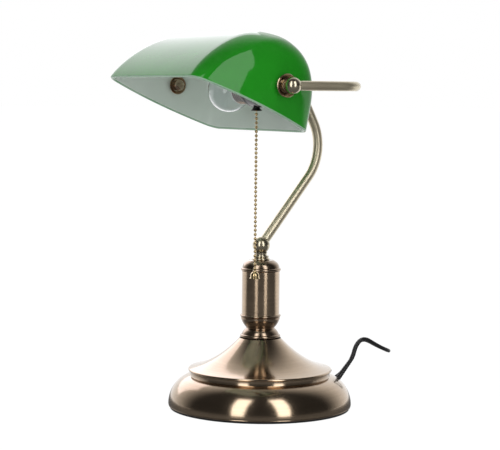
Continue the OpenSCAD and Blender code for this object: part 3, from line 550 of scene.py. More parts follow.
def plastic(name, base, rough, grain=900.0, depth=0.00004):
    """Moulded plastic or rubber with a fine grain and a little dust."""
    mat, tree, shader, coords = blank(name)
    dust = placed(tree, "Dust", coords, Cover=0.06)["Mask"]
    height = noise(tree, coords, grain, 3.0)
    feed(tree, shader["Base Color"], blended(tree, dust, base, (0.35, 0.33, 0.3)))
    feed(tree, shader["Roughness"], ranged(tree, height, 0.3, 0.7, rough - 0.05, rough + 0.08))
    bumped(tree, shader, height, 0.2, depth)
    return mat


def bright_metal(name, base, rough, lines=0):
    """Plated metal, a little dull in places, with a tool's lines where it was turned."""
    mat, tree, shader, coords = blank(name, Metallic=1.0)
    patina = placed(tree, "Patina", coords, Scale=60.0, Cover=0.3)["Mask"]
    edges = placed(tree, "Edge Wear", coords, Wear=0.4)["Mask"]
    tone = blended(tree, patina, base, scaled(base, 0.6))
    feed(tree, shader["Base Color"], blended(tree, edges, tone, scaled(base, 1.2)))
    feed(tree, shader["Roughness"], ranged(tree, patina, 0, 1, rough, rough + 0.2))
    if lines:
        bumped(tree, shader, placed(tree, "Turned Lines", coords, Lines=lines)["Height"], 0.1, 0.0001)
    return mat


def glazed(name, base, second, rough=0.05, gloss=0.5):
    """Opaque cased glass with the slow waves of pressed glass and a faint haze of dust."""
    mat, tree, shader, coords = blank(name, IOR=1.5, Specular_IOR_Level=gloss)
    waves = noise(tree, coords, 26.0, 1.0)
    dust = placed(tree, "Dust", coords, Cover=0.05, Scale=220.0)["Mask"]
    tone = blended(tree, ranged(tree, waves, 0.35, 0.65), base, second)
    feed(tree, shader["Base Color"], blended(tree, dust, tone, (0.4, 0.4, 0.38)))
    feed(tree, shader["Roughness"], ranged(tree, dust, 0, 0.05, rough, rough + 0.05))
    bumped(tree, shader, waves, 0.12, 0.0004)
    return mat


def clear_glass(name, tint):
    """Clear glass whose tint wavers a little."""
    mat, tree, shader, coords = blank(name, Roughness=0.0, IOR=1.45, Transmission_Weight=1.0)
    clouds = ranged(tree, noise(tree, coords, 60.0, 2.0), 0.3, 0.7)
    feed(tree, shader["Base Color"], blended(tree, clouds, tint, scaled(tint, 0.985)))
    return mat


def grainy(name, base, light, scale, detail, bump, depth, **values):
    """A rough surface of one colour with light grains: cloth or cast metal."""
    mat, tree, shader, coords = blank(name, **values)
    grains = noise(tree, coords, scale, detail)
    feed(tree, shader["Base Color"], blended(tree, grains, base, scaled(base, light)))
    bumped(tree, shader, grains, bump, depth)
    return mat


def make_materials():
    """All finishes of the lamp, by a short name."""
    for build in (group_turned_lines, group_patina, group_edge_wear, group_dust):
        build()
    f = bpy.context.scene.desk_lamp_finish
    bright, yellow, patina, dark, chain = (list(c) for c in (f.brass, f.yellow, f.patina, f.dark, f.chain))
    deep = scaled(dark, 0.45)
    green, opal = list(f.green), list(f.opal)
    return {
        "base": brass("Spun antique brass", bright, patina, 0.2, 0.15, lines=4200, aniso=0.7, bump=0.05),
        "column": brass("Brushed antique brass", bright, patina, 0.3, 0.17, 0.3, lines=5200, aniso=0.7,
                        streak=0.14, bump=0.08),
        # The turned and shaded fitting finishes use the dark copy of the brass, a painted shade; deep is the patina of
        # that copy.
        "turned": brass("Darkened turned brass", dark, deep, 0.3, 0.16, 0.8, lines=4200, bump=0.04),
        "tube": brass("Drawn brass tube", yellow, patina, 0.2, 0.42, 0.3, specks=0.1),
        "fitting": brass("Turned brass fitting", scaled(yellow, 0.75), patina, 0.25, 0.24),
        "shade_dark_fitting": brass("Darkened brass fitting", dark, deep, 0.4, 0.2, 0.9),
        "chain": brass("Polished chain brass", chain, scaled(chain, 0.35), 0.3, 0.14, 0.3),
        "green": glazed("Green cased glass", green, scaled(green, 0.86), gloss=0.36),
        # The opal's green tint is painted light, standing in for light that comes through the green casing.
        "opal": glazed("Opal lining", opal, scaled(opal, 0.97), 0.09),
        "lip": glazed("Fired glass lip", (0.30, 0.46, 0.33), (0.22, 0.40, 0.25), 0.12),
        "holder": plastic("Black lampholder plastic", (0.012, 0.012, 0.013), 0.16, 500.0, 0.00002),
        "rubber": plastic("Black rubber", (0.02, 0.02, 0.02), 0.6),
        "lead": plastic("Black lead sheath", (0.014, 0.014, 0.015), 0.38, 1400.0),
        "clear_plastic": plastic("Natural nylon", (0.74, 0.73, 0.68), 0.4),
        "steel": bright_metal("Zinc plated steel", (0.62, 0.62, 0.6), 0.28),
        "nickel": bright_metal("Nickel plate", (0.72, 0.69, 0.66), 0.16, 1200),
        "porcelain": plastic("Glazed porcelain", (0.78, 0.77, 0.72), 0.12, 60.0, 0.0001),
        "bulb": clear_glass("Clear bulb glass", (0.97, 0.98, 1.0)),
        "rod_glass": clear_glass("Clear stem glass", (0.93, 0.95, 0.95)),
        "black_glass": glazed("Black cap glass", (0.01, 0.01, 0.012), (0.02, 0.02, 0.022)),
        "iron": grainy("Cast iron", (0.035, 0.034, 0.033), 1.8, 420.0, 6.0, 0.5, 0.0006,
                       Metallic=0.8, Roughness=0.62),
        "felt": grainy("Black felt", (0.008, 0.008, 0.008), 2.2, 2400.0, 4.0, 0.6, 0.0004,
                       Roughness=0.95, Sheen_Weight=0.3),
    }


MATERIALS = {}
SLOT_FINISH = {
    "antique_brass": "fitting",
    # Parts with the dark brass slot get the dark copy of the brass, which paints in shade.
    "dark_brass": "shade_dark_fitting",
    "chain_brass": "chain",
    "cast_iron": "iron",
    "green_glass": "green",
    "bakelite": "holder",
    "bulb_glass": "bulb",
    "bulb_glass_rod": "rod_glass",
    "cord_plastic": "lead",
}


class Piece:
    """What every operator of this lamp shares."""

    bl_options = {"REGISTER", "UNDO"}


# ---------------------------------------------------------------- camera, lead


def look(s):
    """Forward, right and up directions of the camera, and its place, in metres."""
    forward_flat = Vector((-math.sin(s.azimuth), math.cos(s.azimuth), 0))
    right = Vector((math.cos(s.azimuth), math.sin(s.azimuth), 0))
    place = Vector((0, 0, s.height)) - forward_flat * s.distance + right * s.slide
    forward = (Vector((0, 0, s.target)) + right * s.slide - place).normalized()
    up = right.cross(forward)
    tilted = right * math.cos(s.roll) + up * math.sin(s.roll)
    return forward, tilted, tilted.cross(forward), place


class DESKLAMP_OT_camera(Piece, Operator):
    """Sets the camera in front of the lampholder's end, a little above the shade's pivot"""

    bl_idname = "desk_lamp.camera"
    bl_label = "Camera"

    def execute(self, context):
        s = context.scene.desk_lamp_stage
        forward, right, up, place = look(s)
        data = bpy.data.cameras.new("Camera")
        data.sensor_width, data.lens = 36, s.lens * 1000
        data.clip_start, data.clip_end = 0.05, 50
        cam = linked("Camera", data)
        cam.matrix_world = Matrix((right, up, -forward)).transposed().to_4x4()
        cam.matrix_world.translation = place
        context.scene.camera = cam
        return {"FINISHED"}


LEAD = [(0, 116, 42), (0, 118.5, 47), (0, 120.5, 53), (0, 124, 58.5), (0, 129, 62), (0, 135, 62),
        (0, 142, 58.5), (1.5, 148.5, 54.6), (2, 155, 51.3), (0.3, 161.5, 48.8), (-3.7, 167, 46.9),
        (-9.2, 170.5, 46), (-15.7, 171.5, 46.5), (-21.8, 169.8, 48), (-27, 165.5, 50.8),
        (-30.5, 161, 53.8), (-34, 157, 55.4), (-37.6, 153.6, 54), (-40.4, 151.4, 49.8), (-42.4, 150, 44),
        (-44.4, 148.6, 37.5), (-46.8, 146.6, 30.5), (-50.5, 143.5, 23), (-56, 139.2, 15.5),
        (-63.5, 134.5, 9), (-73, 129, 4.2), (-81.5, 121.8, 2.7), (-87.5, 112.5, 2.7), (-91.2, 103, 2.7),
        (-92.6, 94, 2.7), (-92.6, 85, 2.7)]
TAIL = [(-163.4, 86, 11.5), (-163, 98, 8), (-162, 111, 4.4), (-162, 124, 2.7), (-165, 135, 2.7), (-173, 143, 2.9),
        (-184, 146, 3.4), (-195, 143, 4.4), (-203, 135.5, 5.6), (-207, 128.7, 6.85)]
COIL_X, COIL_Y, COIL_STEPS = -128, 74, 24
PLUG_AT, PLUG_TURN = (-226, 98, 6.85), 58.5
RELIEF_AT, RELIEF_TURN = (0, 92, 15), -42
# Height of the valley between the cores beside their radius
VALLEY = 0.86


def coil_points(mid, pitch):
    """Seven turns clockwise: in along the table, up a row and out, up a row and once round, to the left side."""
    rings = [(1, 0), (0, 0), (-1, 0), (-1, 1), (0, 1), (1, 1), (1, 2), (1, 2)]
    found = []
    for k in range(1, 7 * COIL_STEPS + COIL_STEPS // 2):
        turn = k / COIL_STEPS
        i = int(turn)
        share = max(0.0, (turn - i - 0.75) / 0.25)
        share = share * share * (3 - 2 * share)
        out, up = (a + (b - a) * share for a, b in zip(rings[i], rings[min(i + 1, 7)]))
        r, a = mid + pitch * out, -2 * math.pi * turn
        found.append((COIL_X + r * math.cos(a), COIL_Y + r * math.sin(a), pitch * (up + 0.5)))
    return found


def twin_outline(width, thick):
    """Outline of a flat twin lead: two cores side by side with a shallow valley between."""
    r = thick / 2
    core = arc(width / 2 - r, 0, r, -80, 80, 8)
    return core + [(0, r * VALLEY)] + [(-x, y) for x, y in reversed(core)] + [(0, -r * VALLEY)]


class DESKLAMP_OT_lead(Piece, Operator):
    """Makes the flat twin lead with its strain relief, its stored coil and its plug"""

    bl_idname = "desk_lamp.lead"
    bl_label = "Mains lead"

    def execute(self, context):
        s = mm("lead")
        points = smooth_route(LEAD + coil_points(s.coil, s.width) + TAIL, 3.0)
        cord = make_piece("mains_lead", swept(points, twin_outline(s.width, s.thickness), (1, 0, 0)), ["lead"],
                          ["cord_lead", "cord_coil", "cord_tail"], sharp=60)
        plug = self.plug()
        self.relief()
        return {"FINISHED"}

    def plug(self):
        """A slim moulded two-pin plug: a waisted body with finger ribs that runs out into its cable boot."""
        stations = [(0, 16.4, 6.2), (0.6, 17, 6.75), (2, 17.3, 6.85), (9, 17.3, 6.85), (13, 16.6, 6.8),
                    (18, 14.6, 6.6), (24, 11.4, 6.3), (29, 8.4, 5.9), (33, 6, 5.4), (36, 4.6, 4.6), (37.5, 4, 3.8)]
        rings = []
        for x, w, t in stations:
            rib = 0.35 * math.sin(x * 2.2) if 9 < x < 34 else 0
            rings.append([(x, math.copysign(abs(c) ** 0.55, c) * (w + rib), math.copysign(abs(d) ** 0.62, d) * t)
                          for c, d in circle(1, 36)])
        place = moved(*PLUG_AT) @ spin(PLUG_TURN, "Z")
        return make_piece("plug_moulding", lofted(rings), ["lead"], ["plug_body"], place)

    def relief(self):
        """A tapered sleeve with cross slots that lets the lead flex where it leaves the base."""
        sections, z = [(-6, 3.6, 3.6), (3.0, 3.6, 3.2)], 3.8
        while z < 34:
            k = (z - 2) / 34
            w, t = 3.7 - 1.1 * k, 2.8 - 0.85 * k
            slot_w, slot_t = w - 0.55, t - 0.5
            sections += [(z, w, t), (z + 1.9, w - 0.05, t - 0.05)]
            sections += [(z + 2.0, slot_w, slot_t), (z + 2.7, slot_w, slot_t)]
            z += 2.8
        sections += [(z, 2.65, 1.98), (36, 2.6, 1.95)]
        rings = [[(w * c, t * d, h) for c, d in circle(1, 28)] for h, w, t in sections]
        place = moved(*RELIEF_AT) @ spin(RELIEF_TURN, "X")
        make_piece("lead_strain_relief", lofted(rings), ["lead"], ["strain_relief"], place)


# ---------------------------------------------------------------- base and column

# Height where the dome starts on the foot, and the part of an ellipse that it follows
FOOT_TOP, STEEP = 4.4, 76
# Slope of the bell's cone, and how late the bell sweeps up
FALL, SWEEP = 0.21, 2.13


def bell_line(s, n):
    """Outer line of the bell from the step in to the collar: a low cone that sweeps up."""
    rim = s.step / 2 - 0.5
    run = rim - s.bell_top / 2
    shares = [i / n for i in range(n + 1)]
    return [(rim - run * k, s.step_z + FALL * run * k + (s.bell - FALL * run) * k**SWEEP) for k in shares]


def dome_line(neck, r, low, under, n):
    """Outer line of the low dome, from the foot at radius r in to the neck under the step: part of an ellipse."""
    steep, found = math.radians(STEEP), []
    for a in [steep * i / n for i in range(n + 1)]:
        out, up = (math.cos(a) - math.cos(steep)) / (1 - math.cos(steep)), math.sin(a) / math.sin(steep)
        found.append((neck + (r - neck) * out, low + (under - low) * up))
    return found


class DESKLAMP_OT_base(Piece, Operator):
    """Spins the base: a rolled foot, a low dome, a step with a cove and the bell up to the collar"""

    bl_idname = "desk_lamp.base"
    bl_label = "Base"

    def execute(self, context):
        s = mm("base")
        r, lip, neck, under = s.width / 2, s.step / 2 + 0.1, s.step / 2 - 1.9, s.step_z - 6.9
        foot = near(r, s.pad, (-2.4, -0.1), (-1.0, 0), (-0.45, 0.35), (-0.3, 0.8), (-0.5, 1.15), (-0.4, 1.4))
        dome = [(r - 0.1, s.pad + 1.7)] + dome_line(neck, r, FOOT_TOP, under, 30)
        cove = near(neck, under, (-0.05, 0.3), (-0.15, 1.6), (-0.35, 3.2), (-0.3, 4.2)) + [(lip - 1.1, under + 4.6)]
        rim = near(lip, s.step_z, (-0.35, -2.0), (-0.05, -1.6), (0, -1.1), (-0.15, -0.6), (-0.4, -0.2))
        profile = foot + dome + cove + rim + bell_line(s, 48)
        make_piece("base_spinning", spun(profile, 192), ["base"], ["base_shell"], sharp=50)
        return {"FINISHED"}


def column_heights():
    """Heights over the table, in order: under collar, cup, tube, cap and neck, on the neck, and the ball's centre."""
    b, s = mm("base"), mm("column")
    found = [b.step_z + b.bell]
    for part in (s.collar, s.cup, s.length, s.cap, s.neck):
        found.append(found[-1] + part)
    return found + [found[-1] + s.ball / 2 - s.sunk]


class DESKLAMP_OT_column(Piece, Operator):
    """Turns the collar, the cup, the brushed tube, the domed cap, the ringed neck and the ball"""

    bl_idname = "desk_lamp.column"
    bl_label = "Column"

    def execute(self, context):
        s = mm("column")
        collar_z, cup_z, tube_z, cap_z, neck_z, top, ball_z = column_heights()
        bore, r, waist, wide, c = s.bore / 2, s.lip / 2, s.waist / 2, s.tube / 2, s.lip / 2 - 0.4
        collar = [(bore, collar_z), (19.6, collar_z), (19.8, collar_z + 0.2)]
        collar += arc(r - 2.2, collar_z + 2, 2, -78, 80, 14)
        collar += bulge((r - 1.8, collar_z + 4.1), (waist + 0.2, cup_z - 0.4), -0.5, 14)
        collar += [(waist, cup_z), (bore, cup_z)]
        cup = [(bore, cup_z), (waist + 0.1, cup_z), (waist + 0.5, cup_z + 0.6)]
        cup += bulge((waist + 0.6, cup_z + 0.8), (r - 0.95, tube_z - 4.4), -0.6, 14)
        cup += near(r, tube_z, (-1.0, -3.9), (-1.5, -3.6), (-1.5, -3.4), (-0.75, -3.1), (-0.75, -2.8), (-1.3, -2.5))
        cup += [(r - 1.2, tube_z - 2.35)] + arc(r - 0.9, tube_z - 1.2, 0.9, -70, 70, 8)
        cup += [(r - 0.9, tube_z), (wide, tube_z), (wide - 0.6, tube_z - 0.6), (bore, tube_z - 0.6)]
        low, high = tube_z - 0.4, cap_z + 0.1
        tube = [(wide - 1.5, low), (wide, low)] + between((wide, low), (wide, high), 24)
        tube += [(wide, high), (wide - 1.5, high)]
        cap = [(bore, cap_z), (c - 0.9, cap_z)] + arc(c - 1.7, cap_z + 1.75, 1.7, -75, 75, 10)
        cap += [(c - 1.6, cap_z + 3.55)]
        cap += bulge((c - 1.5, cap_z + 3.7), (14.4, neck_z - 0.9), -1.1, 12)
        cap += [(13.9, neck_z - 0.45), (13.2, neck_z - 0.15), (9.4, neck_z), (bore, neck_z)]
        neck = [(bore, neck_z)] + arc(8.1, neck_z + 1, 1, -85, 85, 10) + [(7.2, neck_z + 2.1)]
        neck += arc(7, neck_z + 3.6, 1.2, -80, 80, 10) + near(6, neck_z, (0.2, 4.9), (0, 5.4), (0, 6))
        neck += [(6.4, top - 0.2), (6.4, top + 0.3)]
        ball = arc(0, 0, s.ball / 2, -88, 56, 30) + [(4.95, 7.25), (4.9, 5.5)]
        upright, lean = moved(0, 0, 0), math.degrees(mm("yoke").lean)
        # Collar, cup and cap take the turned finish, the dark copy of the brass that paints in shade.
        for name, outline, sides, finish, node, slot, place in (
            ("collar_turning", collar, 128, "turned", "collar", "dark_brass", upright),
            ("cup_turning", cup, 128, "turned", "cup", "dark_brass", upright),
            ("column_sleeve", tube, 128, "column", "column_tube", "antique_brass", upright),
            ("cap_turning", cap, 128, "turned", "column_cap", "dark_brass", upright),
            ("neck_turning", neck, 96, "fitting", "neck", "dark_brass", upright),
            ("ball_turning", ball, 96, "fitting", "stem_ball", "dark_brass", moved(0, 0, ball_z) @ spin(-lean, "X")),
        ):
            make_piece(name, spun(outline, sides), [finish], [node], place)
        return {"FINISHED"}


# ---------------------------------------------------------------- stem, yoke and fittings

# Where the yoke's arms start behind the pivot line
ARM_START = 3.4
# Where the stem starts over the ball's centre, and how far it goes past the crossbar's centre
STEM_SKIP, STEM_PAST = 6, -3.4


def stem_route(y, skip, past):
    """The stem's centre line, from skip over the ball's centre to past beyond the crossbar's centre."""
    start_z, lean, turn = column_heights()[-1], math.degrees(y.lean), math.degrees(y.turn)
    out, up = math.sin(y.lean), math.cos(y.lean)
    low = [(0, out * t, start_z + up * t) for t in [skip + (y.straight - skip) * i / 10 for i in range(10)]]
    bend_y, bend_z = out * y.straight - y.bend * up, start_z + up * y.straight + y.bend * out
    mid = [(0, a, b) for a, b in arc(bend_y, bend_z, y.bend, -lean, turn - lean, 40)]
    back, rise = -math.sin(y.turn - y.lean), math.cos(y.turn - y.lean)
    _, end_y, end_z = mid[-1]
    top = [(0, end_y + back * t, end_z + rise * t) for t in [(y.top + past) * i / 6 for i in range(1, 7)]]
    return low + mid + top


def yoke_route(y, arm_x):
    """The yoke's centre line, from the near ball end round the crossbar to the far one."""
    bar, corner = PIVOT.y + y.arm, y.corner
    start, bend, turned_in = (arm_x, PIVOT.y + ARM_START), (arm_x, bar - corner), (arm_x - corner, bar)
    half = [start] + between(start, bend, 8) + arc(arm_x - corner, bar - corner, corner, 0, 90, 30)
    half += between(turned_in, (0, bar), 8)
    return [(a, b, PIVOT.z) for a, b in half + [(0, bar)] + [(-a, b) for a, b in reversed(half)]]


class DESKLAMP_OT_yoke(Piece, Operator):
    """Bends the stem and the yoke, with the ball ends that carry the shade"""

    bl_idname = "desk_lamp.yoke"
    bl_label = "Stem and yoke"

    def execute(self, context):
        y, s = mm("yoke"), mm("shade")
        arm_x = s.half + s.bow + y.gap
        stem = swept(stem_route(y, STEM_SKIP, STEM_PAST), circle(y.stem / 2, 48), (1, 0, 0))
        make_piece("bent_stem", stem, ["tube"], ["stem_tube"])
        yoke = swept(yoke_route(y, arm_x), circle(y.tube / 2, 48), (0, 0, 1))
        make_piece("bent_yoke", yoke, ["tube"], ["yoke_tube"])
        ball = [(0, -y.ball / 2)] + arc(0, 0, y.ball / 2, -88, 52, 30) + [(4.85, 6.35), (4.8, 3.5)]
        boss = [(4.6, 0), (5.6, 0), (6.2, 0.5), (6.2, 3.4), (5.7, 4.1), (5.9, 4.6), (6.1, 6.2), (6.0, 8.2)]
        for side, flip in (("near", 1), ("far", -1)):
            shape = joined(turned(spun(ball, 72), spin(-90, "X")),
                           turned(spun(boss, 72), moved(-flip * 12.55, 0, 0) @ spin(flip * 90, "Y")))
            make_piece(side + "_ball_turning", shape, ["fitting"], [side + "_ball_end"],
                       moved(flip * arm_x, PIVOT.y, PIVOT.z), sharp=45)
        return {"FINISHED"}


# ---------------------------------------------------------------- shade


class Glass:
    """Slices of the shade in its own frame: x along the pivot line, w from front to back, h up from the opening."""

    def __init__(self, s):
        self.s = s

    def ratio(self, h, t):
        """How far up the crest h is, from 0 to 1, for the skin that lies t inside the outer one."""
        return min(max(h, 0) / (self.s.height - t), 1)

    def front(self, h, t):
        """Where the front side is at height h."""
        return self.s.crest - (self.s.crest - t) * (1 - self.ratio(h, t) ** 1.36) ** (1 / 1.81)

    def back(self, h, t):
        """Where the back side is at height h: fuller than the front, and drawn in a little half way up."""
        k = self.ratio(h, t)
        reach = self.s.width - t - self.s.crest
        return self.s.crest + reach * (1 - k**3.08) ** (1 / 1.68) - 12 * k * (1 - k)

    def end(self, h, t):
        """Share of the full length that the shade has at height h."""
        return (1 - self.ratio(h, t) ** 6.6) ** (1 / 5.2)

    def slice(self, h, t, corner_n, side_n, long_n):
        """One ring of the skin t inside the outer one, at height h, with bowed ends that stand out at the pivots."""
        s = self.s
        f, b, k = self.front(h, t), self.back(h, t), self.ratio(h, t)
        half = max((s.half - t) * self.end(h, t), 1)
        r = min(s.corner + 13.7 * k, (b - f) / 2.1, half / 1.1)
        bow = (s.bow - 20 * (k - s.pivot_h / s.height) ** 2) * self.end(h, t)
        m = (f + b) / 2
        c = m + (s.pivot_w - m) * min(1, max(h, 0) / s.pivot_h)
        u, low, high = half - r, f + r, b - r
        ring = between((-u, b), (u, b), long_n) + arc(u, high, r, 90, 0, corner_n)
        ring += between((half, high), (half, low), side_n) + arc(u, low, r, 0, -90, corner_n)
        ring += between((u, f), (-u, f), long_n) + arc(-u, low, r, -90, -180, corner_n)
        ring += between((-half, low), (-half, high), side_n) + arc(-u, high, r, -180, -270, corner_n)
        found = []
        for x, w in ring:
            q = (c - w) / max(c - f, 0.01) if w < c else (w - c) / max(b - c, 0.01)
            reach = min(1, abs(x) / (half * 0.999))
            stand = bow * (1 - q * q) * (1 if reach > 0.98 else reach**6)
            found.append((x + math.copysign(stand, x), w, h))
        return found


GREEN, LIP, OPAL = range(3)


class DESKLAMP_OT_shade(Piece, Operator):
    """Blows the trough-shaped shade in cased glass, green outside and opal inside, with its two pivot holes"""

    bl_idname = "desk_lamp.shade"
    bl_label = "Shade"

    def execute(self, context):
        s = mm("shade")
        half, n, top = s.glass / 2, s.levels, math.radians(89.2)
        shares = [math.sin(top * i / n) for i in range(1, n + 1)]
        outside = [(s.height * k, 0, GREEN) for k in reversed(shares) if s.height * k > half]
        lip = [(half - y, half - x, LIP) for x, y in arc(0, 0, half, 0, 176, 8)]
        inside = [((s.height - s.glass) * k, s.glass, OPAL) for k in shares if (s.height - s.glass) * k > half]
        levels = outside + lip + inside
        glass = Glass(s)
        shape = lofted([glass.slice(h, skin, 10, s.points, 30) for h, skin, _ in levels])
        kinds = [kind for _, _, kind in levels]
        bands = [low if high == LIP else high for low, high in zip(kinds, kinds[1:])]
        around = (len(shape[1]) - 2) // len(bands)
        picks = [band for band in bands for _ in range(around)] + [GREEN, OPAL]
        place = Matrix.Translation(PIVOT) @ Matrix.Rotation(-s.slope, 4, "X") @ moved(0, -s.pivot_w, -s.pivot_h)
        make_piece("glass_shade", shape, ["green", "lip", "opal"], ["shade"], place, "shade_set",
                   sharp=60, picks=picks, post=lambda o: self.drill(o, s))
        return {"FINISHED"}

    def drill(self, obj, s):
        """Cuts the two pivot holes through the ends."""
        long, reach = 20, s.half + s.bow + 6
        rod = spun([(0, 0), (s.hole / 2, 0), (s.hole / 2, long), (0, long)], 64)
        rods = [turned(rod, along_x(side * reach - long / 2, s.pivot_w, s.pivot_h)) for side in (-1, 1)]
        drill = linked("pivot_drill", mesh_of("pivot_drill", joined(*rods)))
        drill.matrix_world = obj.matrix_world
        cut = obj.modifiers.new("holes", "BOOLEAN")
        cut.operation, cut.object, cut.solver = "DIFFERENCE", drill, "EXACT"
        bpy.context.view_layer.update()
        made = bpy.data.meshes.new_from_object(obj.evaluated_get(bpy.context.evaluated_depsgraph_get()))
        obj.modifiers.clear()
        obj.data = made
        bpy.data.objects.remove(drill)


# ---------------------------------------------------------------- lampholder, bulb, chain

# From the switch body's front to its mouth, to the cap's front and out to the screw shell's rim
MOUTH_OUT, SWITCH_LONG, SHELL_OUT = 4.5, 24, 22
# From the switch body's front to the globe's centre, from there to the screw cap, the glass, the neck's radius and
# the angle where the globe runs into the neck
BULB_OUT, BULB_CAP, BULB_WALL, BULB_NECK, BULB_ANGLE = 48, 25, 0.8, 12.5, 52
# Radius of the chain's wire
WIRE = 0.4


def holder_frame():
    """Front of the switch body and front of the lampholder's cap along X, and the axis of both."""
    front = CHAIN_TOP.x - MOUTH_OUT
    return front, front + SWITCH_LONG, PIVOT.y, PIVOT.z - mm("light").drop


class DESKLAMP_OT_holder(Piece, Operator):
    """Moulds the black lampholder: a domed cap, a ringed switch body, a bell mouth for the chain and the screw shell"""

    bl_idname = "desk_lamp.holder"
    bl_label = "Lampholder"

    def execute(self, context):
        g = mm("light")
        front, body, y, z = holder_frame()
        r, b, shell = g.cap / 2, g.body / 2, g.shell / 2
        cap = [(r - 2, 0), (r - 0.3, 0), (r, 0.3), (r, 4.2), (r - 0.35, 4.6), (r - 0.35, 5.0), (r, 5.4), (r, 21)]
        cap += [(r - 0.25, 22.2), (r - 0.7, 23.5), (r - 1.3, 24.3), (r - 2.0, 24.5)]
        moulding = near(shell, 0, (0.05, 6), (0.05, 0.3), (0.4, 0))
        moulding += near(b, 0, (-0.9, 0), (-0.3, 0.25), (0, 0.9), (0, 3.2), (-0.5, 3.5), (-0.5, 4.1), (0, 4.4))
        moulding += near(b, 18.5, (0, 0), (-0.5, 0.3), (-0.5, 1), (0, 1.3), (0, 5.1), (-0.4, 5.45), (-3, 5.45))
        mouth = [(2.2, 6), (2.2, 2.4), (2.7, 1.1), (3.9, 0.25), (4.9, 0.0), (5.5, 0.25), (5.35, 0.9), (4.3, 1.7),
                 (3.6, 2.7), (3.4, 3.4), (3.2, 5.7)]
        outer = thread(shell - 0.5, 0.5, 0.6, 76)
        inner = [(q - 0.35, h) for q, h in reversed(outer)]
        pressing = [(shell - 0.2, 0)] + outer + inner + [(shell - 0.6, 0)]
        for name, shape, finish, node, slot, place, sharp in (
            ("holder_cap_moulding", spun(rounded(cap, 0.25), 96), "holder", "holder_cap", "bakelite",
             along_x(body, y, z), 45),
            ("holder_body_moulding", spun(rounded(moulding, 0.2), 96), "holder", "holder_body", "bakelite",
             along_x(front, y, z), 45),
            ("switch_bell_mouth", spun(rounded(mouth, 0.3), 64), "holder", "switch_mouth", "bakelite",
             moved(front + MOUTH_OUT, y, z - b - 3.6), 60),
            ("screw_shell_pressing", spun(pressing, 96, closed=True), "nickel", "screw_shell", "nickel",
             along_x(front - SHELL_OUT, y, z), 80),
        ):
            make_piece(name, shape, [finish], [node], place, sharp=sharp)
        return {"FINISHED"}


def bulb_skin(r, neck):
    """Half outline of a skin of the bulb: a globe, then a smooth neck down to the screw cap."""
    a, found = math.radians(BULB_ANGLE), [(0, -r)] + arc(0, 0, r, -88, BULB_ANGLE, 46)
    x, z = found[-1]
    for s in [i / 12 for i in range(1, 13)]:
        leave, meet = 2 * s**3 - 3 * s**2 + 1, 3 * s**2 - 2 * s**3
        off, on = 9 * (s**3 - 2 * s**2 + s), 5 * (s**3 - s**2)
        up = z * leave + math.cos(a) * off + (BULB_CAP + 0.4) * meet + on
        found.append((x * leave - math.sin(a) * off + neck * meet, up))
    return found


class DESKLAMP_OT_bulb(Piece, Operator):
    """Blows the clear golf-ball bulb with its screw cap, glass mount and filament"""

    bl_idname = "desk_lamp.bulb"
    bl_label = "Bulb"

    def execute(self, context):
        g = mm("light")
        front, _, y, z = holder_frame()
        centre, cap_place = along_x(front - BULB_OUT, y, z), along_x(front - BULB_OUT + BULB_CAP, y, z)
        inner = bulb_skin(g.globe / 2 - BULB_WALL, BULB_NECK - BULB_WALL)
        envelope = spun(bulb_skin(g.globe / 2, BULB_NECK) + inner[::-1], 128)
        cap = [(11.6, 0.1), (12.6, 0), (13.05, 0.3), (13.05, 2.4)] + thread(12.6, 0.45, 2.6, 56)
        cap += [(11.6, 23.4), (10.9, 23.95), (10.4, 24)]
        mount = [(0, 5), (0.9, 5.05), (1.3, 5.5), (1.4, 8), (1.8, 11), (2.5, 16), (3.4, 22), (4.8, 25.5), (4.8, 26),
                 (0, 26)]
        half = [(0, 1, 11), (0, 4, 7), (0, 7, 3.5), (0, 8.4, 0.5), (0, 6.5, -1), (0, 3.5, -2)]
        line = smooth_route(half + [(0, 0, -2.4)] + [(a, -b, c) for a, b, c in reversed(half)], 0.35)
        swell = [1 if abs(b) > 8 or c > 0.6 else 1 + 0.35 * math.sin(i * 2.1) for i, (_, b, c) in enumerate(line)]
        wire = swept(line, circle(0.24, 8), (1, 0, 0), swell)
        for name, shape, finish, node, slot, place in (
            ("bulb_envelope", envelope, "bulb", "bulb_globe", "bulb_glass", centre),
            ("bulb_screw_cap", spun(cap, 96), "nickel", "bulb_cap", "nickel", cap_place),
            ("bulb_glass_mount", spun(rounded(mount, 0.4), 48), "rod_glass", "bulb_mount", "bulb_glass_rod", centre),
            ("bulb_filament_wire", wire, "steel", "bulb_filament", "nickel", centre),
        ):
            make_piece(name, shape, [finish], [node], place, sharp=80)
        return {"FINISHED"}


